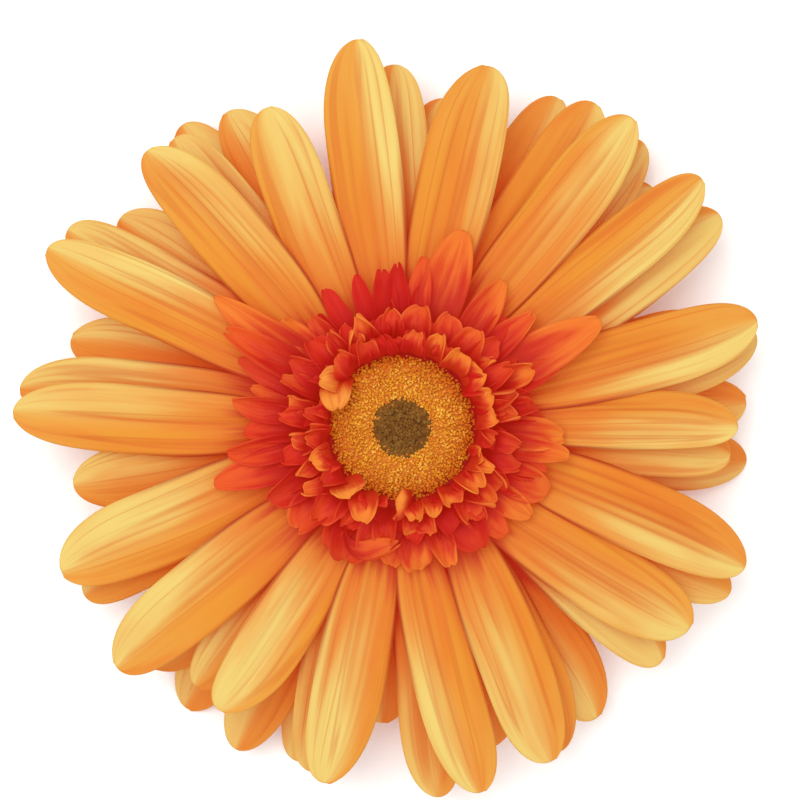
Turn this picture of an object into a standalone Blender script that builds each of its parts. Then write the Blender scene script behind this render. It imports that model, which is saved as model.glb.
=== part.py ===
"""A cut gerbera daisy, laid face up: a short stem, the green cup of bracts, four whorls of ray petals,
three rows of red trans florets, and a domed disc of small florets round a dark middle.

Lengths are in metres and +Z is up. The flower is built round its own axis with its face along +Z, and is
then moved so that the middle of its box stands over the origin. Its lowest points, the stem's cut end and
the drooping tips of the lowest whorl, lie at z = 0.
"""
import math
import random
from dataclasses import dataclass

import bmesh
import bpy
from mathutils import Matrix, Vector

MM = 0.001

# General sizes
GAP = 0.3 * MM
PETAL_THICKNESS = 0.7 * MM
FLORET_THICKNESS = 0.62 * MM
TURN_STEPS = 20

# Stem and green cup
STEM_RADIUS = 3.2 * MM
STEM_LENGTH = 4.5 * MM
CUP_NECK_RADIUS = 3.5 * MM
CUP_RADIUS = 12.2 * MM
CUP_HEIGHT = 7.9 * MM
CUP_RIM = 12.7 * MM
CUP_STEPS = 5
CORE_RADIUS = 9.0 * MM
BRACT_THICKNESS = 0.6 * MM
BRACTS_IN_A_ROW = 9
BRACT_SINK = 0.3 * MM
BRACT_FLARE = 0.5 * MM
BRACT_EMERGES = 0.33     # share of its length over which a bract grows out of the cup
BRACT_TAPER = 0.85       # share of its width that it loses by the tip
BRACT_TAPER_POWER = 2.2
BRACT_HOLLOW = 0.12
BRACT_STRAY = 0.06
BRACT_SEED = 31
# Each row of bracts: where on the cup it starts and ends, its width and how far it stands off.
BRACT_ROWS = (
    (0.12, 0.62, 4.0 * MM, 2.12 * MM), (0.25, 0.85, 4.3 * MM, 1.42 * MM), (0.42, 1.02, 4.5 * MM, 0.72 * MM),
)

# Ray petals
RAY_ROOT = 10.8 * MM
RAY_SPAN = 43.2 * MM
RAY_RING_INNER = 9.3 * MM
RAY_RING_OUTER = 12.3 * MM
RAY_RING_HEIGHT = 1.5 * MM
RAY_RING_PITCH = RAY_RING_HEIGHT + GAP
RAY_WHORLS = 4
RAY_WIDEST = 0.58
RAY_ROOT_WIDTH = 0.14
RAY_TAPER_POWER = 1.75
RAY_TIP_ROW = 0.955      # share of its length at which the petal's last row has its ends
RAY_ROW_POWER = 1.4      # over 1, rows stand closer towards the tip
RAY_RIDGES_END = 0.9
LEAN_REACH = 22 * MM
LYING_REACH = 46.5
# The range from which each petal's own values are drawn, in this order.
RAY_DRAWS = {
    "lean": (-2.0, 2.0),          # degrees
    "width": (9.4, 10.6),         # mm
    "droop": (0.93, 1.07),        # share of the whorl's droop
    "roll": (0.03, 0.07),         # slope from edge to edge
    "crease": (0.22, 0.36),       # mm
    "cup": (-0.2, 0.35),          # mm
    "bluntness": (2.7, 3.4),      # exponent of the tip's outline
}
CORE_TOP = CUP_RIM + RAY_WHORLS * RAY_RING_PITCH

# Disc and its dark middle; the domes are rows of radius and height over the base, from the rim inwards
DISC_RADIUS = 10.1 * MM
DISC_BASE = CORE_TOP + GAP
DISC_WALL = 2.7 * MM
DISC_DOME = (
    (9.8 * MM, 3.6 * MM), (9.1 * MM, 4.4 * MM), (8.2 * MM, 5.0 * MM), (7.2 * MM, 5.4 * MM),
    (6.2 * MM, 5.6 * MM), (5.3 * MM, 5.5 * MM),
)
DISC_BUMP = 0.28 * MM
DISC_SPOKES = 36
EYE_RADIUS = 4.35 * MM
EYE_SEAT = 4.1 * MM
EYE_SEAT_DEPTH = 1.1 * MM
EYE_WALL = 0.7 * MM
EYE_DOME = ((3.6 * MM, 1.05 * MM), (2.6 * MM, 1.15 * MM), (1.5 * MM, 1.1 * MM))
EYE_BUMP = 0.14 * MM
EYE_SPOKES = 20

# Each petal of the upper whorl as it lies in the flower: bearing in degrees, counter-clockwise from +X,
# reach of its tip from the flower's axis in mm, lean of its root against its tip in degrees, width in mm.
UPPER_PETALS = (
    (1, 48.6, 0, 8.4), (16.5, 53.8, 1.5, 10.4), (39, 56.5, 0, 9.2), (53.5, 56.0, 3, 10.0),
    (77, 53.9, 0.5, 11.2), (97.5, 56.7, 0, 10.4), (113, 50.2, 2, 9.6), (132, 54.5, 1.5, 10.4),
    (154, 57.7, 0, 9.6), (177.5, 56.5, 0, 10.1), (202, 53.6, -2.5, 11.6), (219.5, 54.1, 0, 10.8),
    (238, 48.7, 1, 9.6), (258, 52.8, 0, 10.2), (282, 54.2, -3.5, 9.6), (293.5, 53.1, 4, 10.2),
    (325, 50.9, -4, 11.0), (338.5, 53.8, 1.5, 10.6),
)
# The whorls below it: bearing in degrees and reach in mm.
SECOND_PETALS = (
    (13.5, 53.7), (34.5, 56.0), (58.5, 55.2), (92, 53.1), (128.5, 53.9), (150, 57.1), (173.5, 56.4),
    (190, 48.7), (207, 52.6), (232.5, 48.3), (256, 52.3), (275, 54.7), (297, 52.9), (318.5, 51.2),
    (333.5, 53.9), (356, 48.1),
)
THIRD_PETALS = (
    (3.5, 51.0), (18, 47.0), (50, 55.2), (64.5, 53.8), (82.5, 48.7), (118, 53.2), (143, 51.8), (164.5, 50.5),
    (184.5, 43.5), (224.5, 51.2), (243, 53.7), (265, 43.5), (287, 49.0), (304.5, 51.8), (339, 47.0),
)
LOWEST_PETALS = (
    (16, 45.0), (43.5, 51.8), (76, 47.0), (99, 47.0), (126.5, 55.8), (154, 49.0), (178, 48.0), (202, 46.0),
    (231.5, 53.1), (253, 52.5), (281, 47.0), (324, 45.0), (354, 51.8),
)
# Trans florets
FLORET_ROUNDING = 0.10   # share of its length by which a row's ends stand back from its middle
FLORET_SWELL = 0.70      # how far along a half wave its width runs from root to tip
FLORET_POINT = 0.93      # at 1 the tip would be a point
# The range from which each floret's own values are drawn, in this order.
FLORET_DRAWS = {
    "place": (-0.15, 0.15),       # share of the space between two florets
    "reach": (0.94, 1.06),        # share of the row's reach
    "width": (0.9, 1.1),          # share of the row's width
    "lift": (-0.3, 0.3),          # mm at the tip
    "swing": (-0.5, 0.5),         # mm to the side at the tip
    "cup": (0.1, 0.35),           # mm
    "roll": (0.22, 0.32),         # slope from edge to edge
}
# The long trans florets that lie out over the petals: bearing in degrees, reach in mm, width in mm.
OUTER_FLORETS = (
    (8.5, 22.2, 4.0), (27, 31.6, 7.0), (41, 25.4, 4.6), (57, 25.7, 4.6), (72, 31.2, 6.2),
    (83, 24.6, 4.0), (97, 23.2, 4.6), (108, 23.2, 4.2), (120, 23.2, 4.4), (134, 23.2, 4.4),
    (146, 33.1, 5.4), (156, 25.4, 4.2), (169, 24.4, 4.4), (182, 23.2, 4.2), (194, 29.0, 5.6),
    (208, 22.2, 5.0), (222, 21.4, 5.0), (238, 20.4, 4.8), (253, 20.8, 4.8), (269, 20.0, 4.4),
    (285, 21.0, 4.4), (300, 21.8, 5.4), (313, 22.5, 4.4), (334, 24.4, 5.4), (347, 24.9, 4.2),
    (357, 23.2, 4.0),
)


@dataclass
class Whorl:
    """One whorl of ray petals: its place from below, how its petals rise and droop, and its own draws."""
    name: str
    level: int
    rise: float
    droop: float
    petals: tuple
    facets: tuple        # how many facets a petal has along and across
    seed: int

    @property
    def ring_base(self):
        return CUP_RIM + GAP + self.level * RAY_RING_PITCH

    @property
    def root_height(self):
        return self.ring_base + RAY_RING_HEIGHT / 2


WHORLS = (
    Whorl("ray_petals_lowest", 0, 2.7 * MM, 16.2 * MM, LOWEST_PETALS, (4, 2), 11),
    Whorl("ray_petals_third", 1, 3.2 * MM, 14.0 * MM, THIRD_PETALS, (4, 2), 12),
    Whorl("ray_petals_second", 2, 3.7 * MM, 11.0 * MM, SECOND_PETALS, (5, 4), 13),
    Whorl("ray_petals_upper", 3, 4.2 * MM, 8.0 * MM, UPPER_PETALS, (5, 4), 14),
)


@dataclass
class FloretRow:
    """One row of trans florets: its ring, and the curve that its florets follow outwards."""
    name: str
    ring: tuple          # inner radius, outer radius, underside over the core's top, height
    root: float          # radius at which the florets stand in the ring
    root_width: float    # share of its width that a floret has at the root
    bend: tuple          # radius, and height over the core's top, towards which a floret first rises
    tip_height: float    # height of the tips over the core's top
    rows: int
    seed: int
    count: int
    reach: float = 0.0
    width: float = 0.0


FLORET_ROWS = (
    FloretRow("trans_florets_outer", (10.4 * MM, 13.8 * MM, 0.4 * MM, 1.4 * MM), 12.6 * MM, 0.30,
              (17.0 * MM, 5.6 * MM), 3.0 * MM, 4, 21, len(OUTER_FLORETS)),
    FloretRow("trans_florets_middle", (10.4 * MM, 13.0 * MM, 2.1 * MM, 1.2 * MM), 12.2 * MM, 0.45,
              (13.8 * MM, 7.8 * MM), 6.3 * MM, 3, 22, 20, 17.8 * MM, 4.6 * MM),
    FloretRow("trans_florets_inner", (10.4 * MM, 11.7 * MM, 3.6 * MM, 1.2 * MM), 11.1 * MM, 0.62,
              (11.5 * MM, 9.9 * MM), 8.9 * MM, 3, 23, 26, 14.3 * MM, 3.3 * MM),
)

COLOURS = {
    "stem": (0.30, 0.42, 0.13, 1.0),
    "involucre": (0.16, 0.29, 0.07, 1.0),
    "ray_petals_lowest": (0.76, 0.25, 0.05, 1.0),
    "ray_petals_third": (0.80, 0.28, 0.05, 1.0),
    "ray_petals_second": (0.84, 0.32, 0.06, 1.0),
    "ray_petals_upper": (0.88, 0.36, 0.07, 1.0),
    "trans_florets_outer": (0.72, 0.08, 0.02, 1.0),
    "trans_florets_middle": (0.70, 0.06, 0.02, 1.0),
    "trans_florets_inner": (0.76, 0.12, 0.03, 1.0),
    "disc_florets": (0.72, 0.33, 0.04, 1.0),
    "disc_buds": (0.15, 0.07, 0.015, 1.0),
}
ROUGHNESS = 0.6
SMOOTH_ANGLE = math.radians(40)


def clear_scene():
    """Empties the file of the objects it opens with."""
    for thing in list(bpy.data.objects):
        bpy.data.objects.remove(thing, do_unlink=True)


def finish_of(name):
    """A plain matte finish in the piece's own colour."""
    material = bpy.data.materials.new(name)
    material.use_nodes = True
    shader = material.node_tree.nodes["Principled BSDF"]
    shader.inputs["Base Color"].default_value = COLOURS[name]
    shader.inputs["Roughness"].default_value = ROUGHNESS
    shader.inputs["Metallic"].default_value = 0.0
    return material


def object_from(shape, name):
    """Turns a finished bmesh into an object of the scene, its faces pointing out."""
    bmesh.ops.recalc_face_normals(shape, faces=shape.faces[:])
    mesh = bpy.data.meshes.new(name)
    shape.to_mesh(mesh)
    shape.free()
    piece = bpy.data.objects.new(name, mesh)
    bpy.context.scene.collection.objects.link(piece)
    return piece


def turned(profile, steps=TURN_STEPS, closed=False):
    """Spins a profile of (radius, height) points round Z; an open one starts and ends on the axis."""
    shape = bmesh.new()
    points = [shape.verts.new((radius, 0, height)) for radius, height in profile]
    edges = [shape.edges.new(pair) for pair in zip(points, points[1:])]
    if closed:
        edges.append(shape.edges.new((points[-1], points[0])))
    bmesh.ops.spin(shape, geom=points + edges, cent=(0, 0, 0), axis=(0, 0, 1), dvec=(0, 0, 0),
                   angle=2 * math.pi, steps=steps, use_merge=True, use_normal_flip=False,
                   use_duplicate=False)
    bmesh.ops.remove_doubles(shape, verts=shape.verts[:], dist=0.001 * MM)
    return shape


def ring(inner, outer, base, height):
    """The band in which the roots of one row of florets stand side by side."""
    section = ((inner, base), (outer, base), (outer, base + height), (inner, base + height))
    return turned(section, closed=True)


def blade(sheet, rows, columns, thickness):
    """A petal of even thickness under the face that sheet(along, across) gives, split alike on both sides;
    along runs from 0 at the root to 1 at the tip and across from -1 to 1. Nothing dips below z = 0."""
    shape = bmesh.new()
    bmesh.ops.create_grid(shape, x_segments=columns, y_segments=rows, size=0.5)
    for point in shape.verts:
        along = point.co.y + 0.5
        point.co = sheet(along, 2 * point.co.x)
    bmesh.ops.triangulate(shape, faces=shape.faces[:])
    bmesh.ops.solidify(shape, geom=shape.faces[:], thickness=-thickness)
    for point in shape.verts:
        point.co.z = max(point.co.z, 0.0)
    return shape


def volume_within(faces):
    """The volume that a shell of faces encloses, negative for the wall of a hollow."""
    total = 0.0
    for face in faces:
        first, *others = (corner.vert.co for corner in face.loops)
        for second, third in zip(others, others[1:]):
            total += first.dot(second.cross(third)) / 6
    return total


def keep_outer_skin(mesh):
    """Fills hollows that fusing has sealed and drops loose scraps, by keeping the largest shell."""
    shape = bmesh.new()
    shape.from_mesh(mesh)
    waiting = set(shape.faces)
    shells = []
    while waiting:
        shell = {waiting.pop()}
        front = list(shell)
        while front:
            near = {other for edge in front.pop().edges for other in edge.link_faces} - shell
            shell |= near
            front.extend(near)
        waiting -= shell
        shells.append(shell)
    largest = max(shells, key=volume_within)
    spare = [face for shell in shells if shell is not largest for face in shell]
    bmesh.ops.delete(shape, geom=spare, context="FACES")
    shape.to_mesh(mesh)
    shape.free()


def fused(body, repeats, name):
    """Joins the repeats to the body they grow from, in one solid, and removes the loose shapes."""
    base = object_from(body, name)
    group = bpy.data.collections.new(name + "_repeats")
    bpy.context.scene.collection.children.link(group)
    loose = [object_from(shape, name + "_repeat") for shape in repeats]
    for piece in loose:
        group.objects.link(piece)
        bpy.context.scene.collection.objects.unlink(piece)
    union = base.modifiers.new("union", "BOOLEAN")
    union.operation = "UNION"
    union.operand_type = "COLLECTION"
    union.collection = group
    union.solver = "EXACT"
    settled = base.evaluated_get(bpy.context.evaluated_depsgraph_get())
    joined = bpy.data.meshes.new_from_object(settled)
    base.modifiers.clear()
    base.data = joined
    keep_outer_skin(joined)
    for piece in loose:
        bpy.data.objects.remove(piece, do_unlink=True)
    bpy.data.collections.remove(group)
    return base


def dress(piece):
    """Gives a piece its finish and shades its rounds smooth."""
    piece.data.materials.clear()
    piece.data.materials.append(finish_of(piece.name))
    piece.data.shade_smooth()
    piece.data.set_sharp_from_angle(angle=SMOOTH_ANGLE)


def around(bearing, outwards, sideways, height):
    """A point given in a petal's own directions, turned to the petal's bearing."""
    return Matrix.Rotation(bearing, 3, "Z") @ Vector((outwards, sideways, height))


def make_stem():
    """The stub of stem that is left below the flower, cut square."""
    profile = ((0, 0), (STEM_RADIUS, 0), (STEM_RADIUS, 0.6 * STEM_LENGTH), (CUP_NECK_RADIUS, STEM_LENGTH),
               (0, STEM_LENGTH))
    return object_from(turned(profile), "stem")


def cup_point(share, stand_off=0.0):
    """Radius and height on the green cup's outside, from its neck (0) to its rim (1), or off it."""
    turn = math.pi / 2 * share
    swell = CUP_RADIUS - CUP_NECK_RADIUS
    outwards = Vector((CUP_HEIGHT * math.sin(turn), -swell * math.cos(turn))).normalized()
    point = Vector((CUP_NECK_RADIUS + swell * math.sin(turn),
                    STEM_LENGTH + GAP + CUP_HEIGHT * (1 - math.cos(turn))))
    return point + outwards * stand_off


def bract_sheet(bearing, start, end, width, stand_off):
    """A pointed bract that grows out of the cup and follows it from start to end, a little off it."""
    def sheet(along, across):
        out_of_cup = min(1.0, along / BRACT_EMERGES)
        off = (stand_off + BRACT_SINK) * out_of_cup - BRACT_SINK + BRACT_FLARE * along ** 4
        half = 0.5 * width * (1 - BRACT_TAPER * along ** BRACT_TAPER_POWER)
        radius, height = cup_point(start + (end - start) * along, off - BRACT_HOLLOW * half * across ** 2)
        return around(bearing, radius, half * across, height)
    return sheet


def make_involucre():
    """The cup under the flower: the receptacle's swollen head, its core and three rows of bracts."""
    draws = random.Random(BRACT_SEED)
    outside = [tuple(cup_point(step / CUP_STEPS)) for step in range(CUP_STEPS + 1)]
    profile = [(0, outside[0][1])] + outside
    profile += [(CORE_RADIUS, CUP_RIM), (CORE_RADIUS, CORE_TOP), (0, CORE_TOP)]
    bracts = []
    for row, (start, end, width, stand_off) in enumerate(BRACT_ROWS):
        for place in range(BRACTS_IN_A_ROW):
            turn = place + row / len(BRACT_ROWS) + draws.uniform(-BRACT_STRAY, BRACT_STRAY)
            reach = end - draws.uniform(0.0, BRACT_STRAY)
            sheet = bract_sheet(2 * math.pi * turn / BRACTS_IN_A_ROW, start, reach, width, stand_off)
            bracts.append(blade(sheet, 3, 2, BRACT_THICKNESS))
    return fused(turned(profile), bracts, "involucre")


def ray_half_width(share, width, bluntness):
    """Half the petal's width where share of its length is passed."""
    if share < RAY_WIDEST:
        return 0.5 * width * (1 - (1 - RAY_ROOT_WIDTH) * (1 - share / RAY_WIDEST) ** RAY_TAPER_POWER)
    beyond = (share - RAY_WIDEST) / (1 - RAY_WIDEST)
    return 0.5 * width * math.sqrt(max(0.0, 1 - beyond ** bluntness))


@dataclass
class RayPetal:
    """One ray petal's place and form."""
    bearing: float
    reach: float
    lean: float
    width: float
    root_height: float
    rise: float
    droop: float
    roll: float
    crease: float
    cup: float
    bluntness: float


def ray_petals_of(whorl):
    """Every petal of a whorl, with the draws that make each one its own."""
    draws = random.Random(whorl.seed)
    petals = []
    for bearing, reach, *measured in whorl.petals:
        drawn = [draws.uniform(*limits) for limits in RAY_DRAWS.values()]
        lean, width, droop, roll, crease, cup, bluntness = drawn
        if measured:
            lean, width = measured
        droop *= whorl.droop
        if whorl.level == 0 and reach > LYING_REACH:
            span = (reach * MM - RAY_ROOT) / RAY_SPAN
            droop = (whorl.root_height + whorl.rise * span) / span ** 2
        petals.append(RayPetal(math.radians(bearing), reach * MM, math.radians(lean), width * MM,
                               whorl.root_height, whorl.rise, droop, roll, crease * MM, cup * MM, bluntness))
    return petals


def ray_sheet(petal):
    """The upper face of a ray petal: an arched strap with two ridges along it."""
    def sheet(along, across):
        row = RAY_TIP_ROW * (1 - (1 - along) ** RAY_ROW_POWER)
        share = row + (1 - RAY_TIP_ROW) * (1 - across ** 2) * along ** 3
        half = ray_half_width(row, petal.width, petal.bluntness)
        outwards = RAY_ROOT + (petal.reach - RAY_ROOT) * share
        lean = petal.lean * LEAN_REACH * (petal.reach - outwards) / (petal.reach - LEAN_REACH)
        span = (outwards - RAY_ROOT) / RAY_SPAN
        height = petal.root_height + PETAL_THICKNESS / 2 + petal.rise * span - petal.droop * span ** 2
        ridges = -petal.crease * math.cos(2 * math.pi * across) + petal.cup * across ** 2
        height += ridges * math.sin(math.pi * min(1.0, share / RAY_RIDGES_END)) + petal.roll * half * across
        return around(petal.bearing, outwards, lean + half * across, max(height, PETAL_THICKNESS))
    return sheet


def make_whorl(whorl):
    """One whorl of ray petals on the ring of their roots."""
    body = ring(RAY_RING_INNER, RAY_RING_OUTER, whorl.ring_base, RAY_RING_HEIGHT)
    petals = [blade(ray_sheet(petal), *whorl.facets, PETAL_THICKNESS) for petal in ray_petals_of(whorl)]
    return fused(body, petals, whorl.name)


@dataclass
class Floret:
    """One trans floret's place and form."""
    bearing: float
    reach: float
    width: float
    tip_height: float
    swing: float
    cup: float
    roll: float


def florets_of(row):
    """Every floret of a row: the long ones where they lie in the flower, the others evenly with a draw."""
    draws = random.Random(row.seed)
    florets = []
    for place in range(row.count):
        drawn = [draws.uniform(*limits) for limits in FLORET_DRAWS.values()]
        shift, length, breadth, lift, swing, cup, roll = drawn
        bearing, reach, width = 360 * (place + shift) / row.count, row.reach * length, row.width * breadth
        if not row.reach:
            bearing, reach, width = OUTER_FLORETS[place]
            reach, width = reach * MM, width * MM
        florets.append(Floret(math.radians(bearing), reach, width, row.tip_height + lift * MM, swing * MM,
                              cup * MM, roll))
    return florets


def floret_sheet(row, floret):
    """A trans floret that rises from its ring, turns outwards and ends in a rounded point. It is rolled
    to one side, so that its edge lies over its neighbour's."""
    root = Vector((row.root, CORE_TOP + row.ring[2] + row.ring[3] / 2))
    bend = Vector((row.bend[0], CORE_TOP + row.bend[1]))
    tip = Vector((floret.reach, CORE_TOP + floret.tip_height))

    def sheet(along, across):
        share = along * (1 - FLORET_ROUNDING * across ** 2)
        middle = root * (1 - share) ** 2 + bend * 2 * share * (1 - share) + tip * share ** 2
        course = (bend - root) * (1 - share) + (tip - bend) * share
        upwards = Vector((-course.y, course.x)).normalized()
        swell = math.sin(math.pi * FLORET_SWELL * along)
        half = 0.5 * floret.width * (row.root_width + (1 - row.root_width) * swell)
        half *= math.sqrt(max(0.0, 1 - (FLORET_POINT * along) ** 4))
        middle += upwards * (floret.cup * across ** 2 * share + floret.roll * half * across)
        return around(floret.bearing, middle.x, half * across + floret.swing * share, middle.y)
    return sheet


def make_florets(row):
    """One row of trans florets on the ring of their roots."""
    florets = [blade(floret_sheet(row, floret), row.rows, 2, FLORET_THICKNESS) for floret in florets_of(row)]
    inner, outer, base, height = row.ring
    return fused(ring(inner, outer, CORE_TOP + base, height), florets, row.name)


def knobbly(profile, rows, spokes, bump):
    """A turned solid that has the points of some rows of its profile raised and sunk by turns."""
    shape = turned(profile, spokes)
    for point in shape.verts:
        place = Vector((math.hypot(point.co.x, point.co.y), point.co.z))
        row = min(range(len(profile)), key=lambda order: (Vector(profile[order]) - place).length)
        if row in rows:
            spoke = round(math.atan2(point.co.y, point.co.x) * spokes / (2 * math.pi))
            point.co.z += bump if (spoke + row) % 2 else -bump
    return shape


def make_disc():
    """The dome of open disc florets, as relief, with the seat of the dark middle in its top."""
    seat = DISC_BASE + EYE_SEAT
    profile = [(0, DISC_BASE), (DISC_RADIUS, DISC_BASE), (DISC_RADIUS, DISC_BASE + DISC_WALL)]
    relief = range(len(profile), len(profile) + len(DISC_DOME))
    profile += [(radius, DISC_BASE + height) for radius, height in DISC_DOME]
    profile += [(EYE_RADIUS + GAP, seat + EYE_SEAT_DEPTH), (EYE_RADIUS + GAP, seat), (0, seat)]
    return object_from(knobbly(profile, relief, DISC_SPOKES, DISC_BUMP), "disc_florets")


def make_eye():
    """The closed dark florets in the middle of the disc."""
    base = DISC_BASE + EYE_SEAT + GAP
    profile = [(0, base), (EYE_RADIUS, base), (EYE_RADIUS, base + EYE_WALL)]
    relief = range(len(profile), len(profile) + len(EYE_DOME))
    profile += [(radius, base + height) for radius, height in EYE_DOME]
    profile.append((0, profile[-1][1]))
    return object_from(knobbly(profile, relief, EYE_SPOKES, EYE_BUMP), "disc_buds")


def centre_over_origin(pieces):
    """Moves the flower so that the middle of its box stands over the origin."""
    corners = [piece.matrix_world @ point.co for piece in pieces for point in piece.data.vertices]
    middle = [(min(values) + max(values)) / 2 for values in zip(*corners)]
    for piece in pieces:
        piece.data.transform(Matrix.Translation((-middle[0], -middle[1], 0)))


def main():
    clear_scene()
    pieces = [make_stem(), make_involucre()]
    pieces += [make_whorl(whorl) for whorl in WHORLS]
    pieces += [make_florets(row) for row in FLORET_ROWS]
    pieces += [make_disc(), make_eye()]
    centre_over_origin(pieces)
    for piece in pieces:
        dress(piece)


main()
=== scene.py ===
"""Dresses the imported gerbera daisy. Finer ray petals, trans florets, disc florets, bracts and stem stand in
for the plain solids, each with its colours and finish, on a pale floor under soft light. The camera looks
straight down on the flower's face. Lengths are in metres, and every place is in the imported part's frame.
"""
import math
import random
from dataclasses import dataclass

import bmesh
import bpy
from mathutils import Matrix, Vector


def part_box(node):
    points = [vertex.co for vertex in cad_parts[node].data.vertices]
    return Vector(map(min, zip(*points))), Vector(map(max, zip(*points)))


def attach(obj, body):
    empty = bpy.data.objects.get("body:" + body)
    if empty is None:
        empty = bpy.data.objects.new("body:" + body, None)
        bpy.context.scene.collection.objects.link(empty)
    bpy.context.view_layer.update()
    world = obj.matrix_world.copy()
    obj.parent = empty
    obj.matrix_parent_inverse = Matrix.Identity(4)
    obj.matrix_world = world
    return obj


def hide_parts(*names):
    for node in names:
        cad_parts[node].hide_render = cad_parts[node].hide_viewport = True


MM = 0.001
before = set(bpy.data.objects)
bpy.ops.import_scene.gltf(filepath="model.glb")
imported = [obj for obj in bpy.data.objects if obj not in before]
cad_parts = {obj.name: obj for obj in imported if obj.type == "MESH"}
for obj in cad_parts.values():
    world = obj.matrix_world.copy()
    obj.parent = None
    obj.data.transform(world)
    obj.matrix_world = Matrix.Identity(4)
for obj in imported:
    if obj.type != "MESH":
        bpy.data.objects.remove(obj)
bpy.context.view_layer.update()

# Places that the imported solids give
STEM_LOW, STEM_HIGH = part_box("stem")
EYE_LOW, EYE_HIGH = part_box("disc_buds")
DISC_LOW, DISC_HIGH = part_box("disc_florets")
AXIS = Vector(((STEM_LOW.x + STEM_HIGH.x) / 2, (STEM_LOW.y + STEM_HIGH.y) / 2, 0))
STEM_TOP = STEM_HIGH.z
CORE_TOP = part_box("involucre")[1].z
DISC_RADIUS = (DISC_HIGH.x - DISC_LOW.x) / 2
EYE_RADIUS = (EYE_HIGH.x - EYE_LOW.x) / 2

# Ray petals: the course of the solids, but thinner, wider towards the root and rounder at the tip
RAY_ROOT = 10.8 * MM
RAY_SPAN = 43.2 * MM
RAY_WIDEST = 0.58
RAY_ROOT_WIDTH = 0.14
RAY_TAPER_POWER = 2.4
RAY_TIP_ROW = 0.996      # share of its length at which the petal's last row has its ends
RAY_ROW_POWER = 1.5      # over 1, rows crowd towards the tip
RAY_GRID = (34, 22)      # rows along a petal and columns across it
RAY_THICKNESS = 0.42 * MM
SOLID_THICKNESS = 0.7 * MM
CUP_RIM = 12.7 * MM
WHORL_PITCH = (CORE_TOP - CUP_RIM) / 4
ROOT_OVER_RIM = 1.05 * MM
RAY_BAND = (9.3 * MM, 12.0 * MM)    # inner and outer radius of the band of their roots
RAY_BAND_HALF = 0.7 * MM
LEAN_REACH = 22 * MM     # radius at which a petal stands aside by its lean
LYING_REACH = 46.5       # mm from which on a lowest petal touches the floor with its tip
RIDGE_SHARE = 0.45       # share of the solids' ridges that the finer petals keep
RIDGES_END = 0.95
TIP_FULLNESS = 1.1
TIP_HOOK = 9 * MM        # how far a tip bends aside
HOOK_START = 0.7
EDGE_STRAY = 0.022       # share of its width by which an edge strays
EDGE_THINNING = 0.6      # share of its thickness that a petal or floret loses at its edges
OVER_FLOOR = 0.05 * MM
# The range from which each petal's own values are drawn, in this order: first those of its solid, then
# those of its finer surface.
RAY_DRAWS = {
    "lean": (-2.0, 2.0),          # degrees
    "width": (9.4, 10.6),         # mm
    "droop": (0.93, 1.07),        # share of the whorl's droop
    "roll": (0.03, 0.07),         # slope from edge to edge, in the solid alone
    "crease": (0.22, 0.36),       # mm
    "cup": (-0.2, 0.35),          # mm
    "bluntness": (2.7, 3.4),      # exponent of the tip's outline
}
RAY_SURFACE_DRAWS = {
    "roll": (0.05, 0.12),         # slope from edge to edge
    "sway": (-0.7, 0.7),          # mm by which the middle of its length bends aside
    "wave": (0.1, 0.35),          # mm, height of the waves along its edges
    "waves": (1.2, 2.4),          # their number
    "phase": (0, 6.28),
    "fold": (-0.2, 0.55),         # place across where the golden side, lit with painted light, meets the orange one
    "gold_and_light": (0.45, 1.0),          # how golden that side is, with its painted light
}
DEEP_GROOVED = (1, 16.5, 325, 338.5)    # bearings of the upper petals with the strongest grooves
GOLD_LIGHT_SHIFT = 0.35                       # how far past the fold the gold and its painted light end
GOLD_LIGHT_SOFTNESS = 0.9                     # over how much of its width
GOLD_LIGHT_START = (0.10, 0.40)               # place along from which it rises, and over how much
GROOVE_PLACES = (-0.62, -0.34, 0.0, 0.30, 0.58)
GROOVE_STRAY = 0.08
GROOVE_START = 0.1
GROOVE_COUNTS = (2, 3, 3)
DEEP_GROOVE_COUNT = 4
GROOVE_DEPTHS = ((0.08, 0.24), (0.22, 0.34))    # mm, of the others and of the strongest
GROOVE_BREADTHS = (0.045, 0.085)
GROOVE_ENDS = (0.55, 1.0)
FOLD_GROOVE = (0.10 * MM, 0.06, 1.0)    # depth, breadth and end of the groove along the fold
FULL_GROOVE_SHADE = 0.3 * MM                  # depth at which a groove has its full painted shade
RAY_BACK = (0.0, 0.0, -1.0)             # tint by which the finish knows the back of a petal
OVARIES = 40
OVARY_RADIUS = 10.7 * MM
OVARY_HALF = (1.75, 0.92, 0.9)          # mm, half its length, breadth and height

# Each petal of the upper whorl: bearing in degrees, counter-clockwise from +X, reach of its tip from the
# flower's axis in mm, lean of its root against its tip in degrees, width in mm.
UPPER_PETALS = (
    (1, 48.6, 0, 8.4), (16.5, 53.8, 1.5, 10.4), (39, 56.5, 0, 9.2), (53.5, 56, 3, 10),
    (77, 53.9, 0.5, 11.2), (97.5, 56.7, 0, 10.4), (113, 50.2, 2, 9.6), (132, 54.5, 1.5, 10.4),
    (154, 57.7, 0, 9.6), (177.5, 56.5, 0, 10.1), (202, 53.6, -2.5, 11.6), (219.5, 54.1, 0, 10.8),
    (238, 48.7, 1, 9.6), (258, 52.8, 0, 10.2), (282, 54.2, -3.5, 9.6), (293.5, 53.1, 4, 10.2),
    (325, 50.9, -4, 11), (338.5, 53.8, 1.5, 10.6),
)
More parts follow.
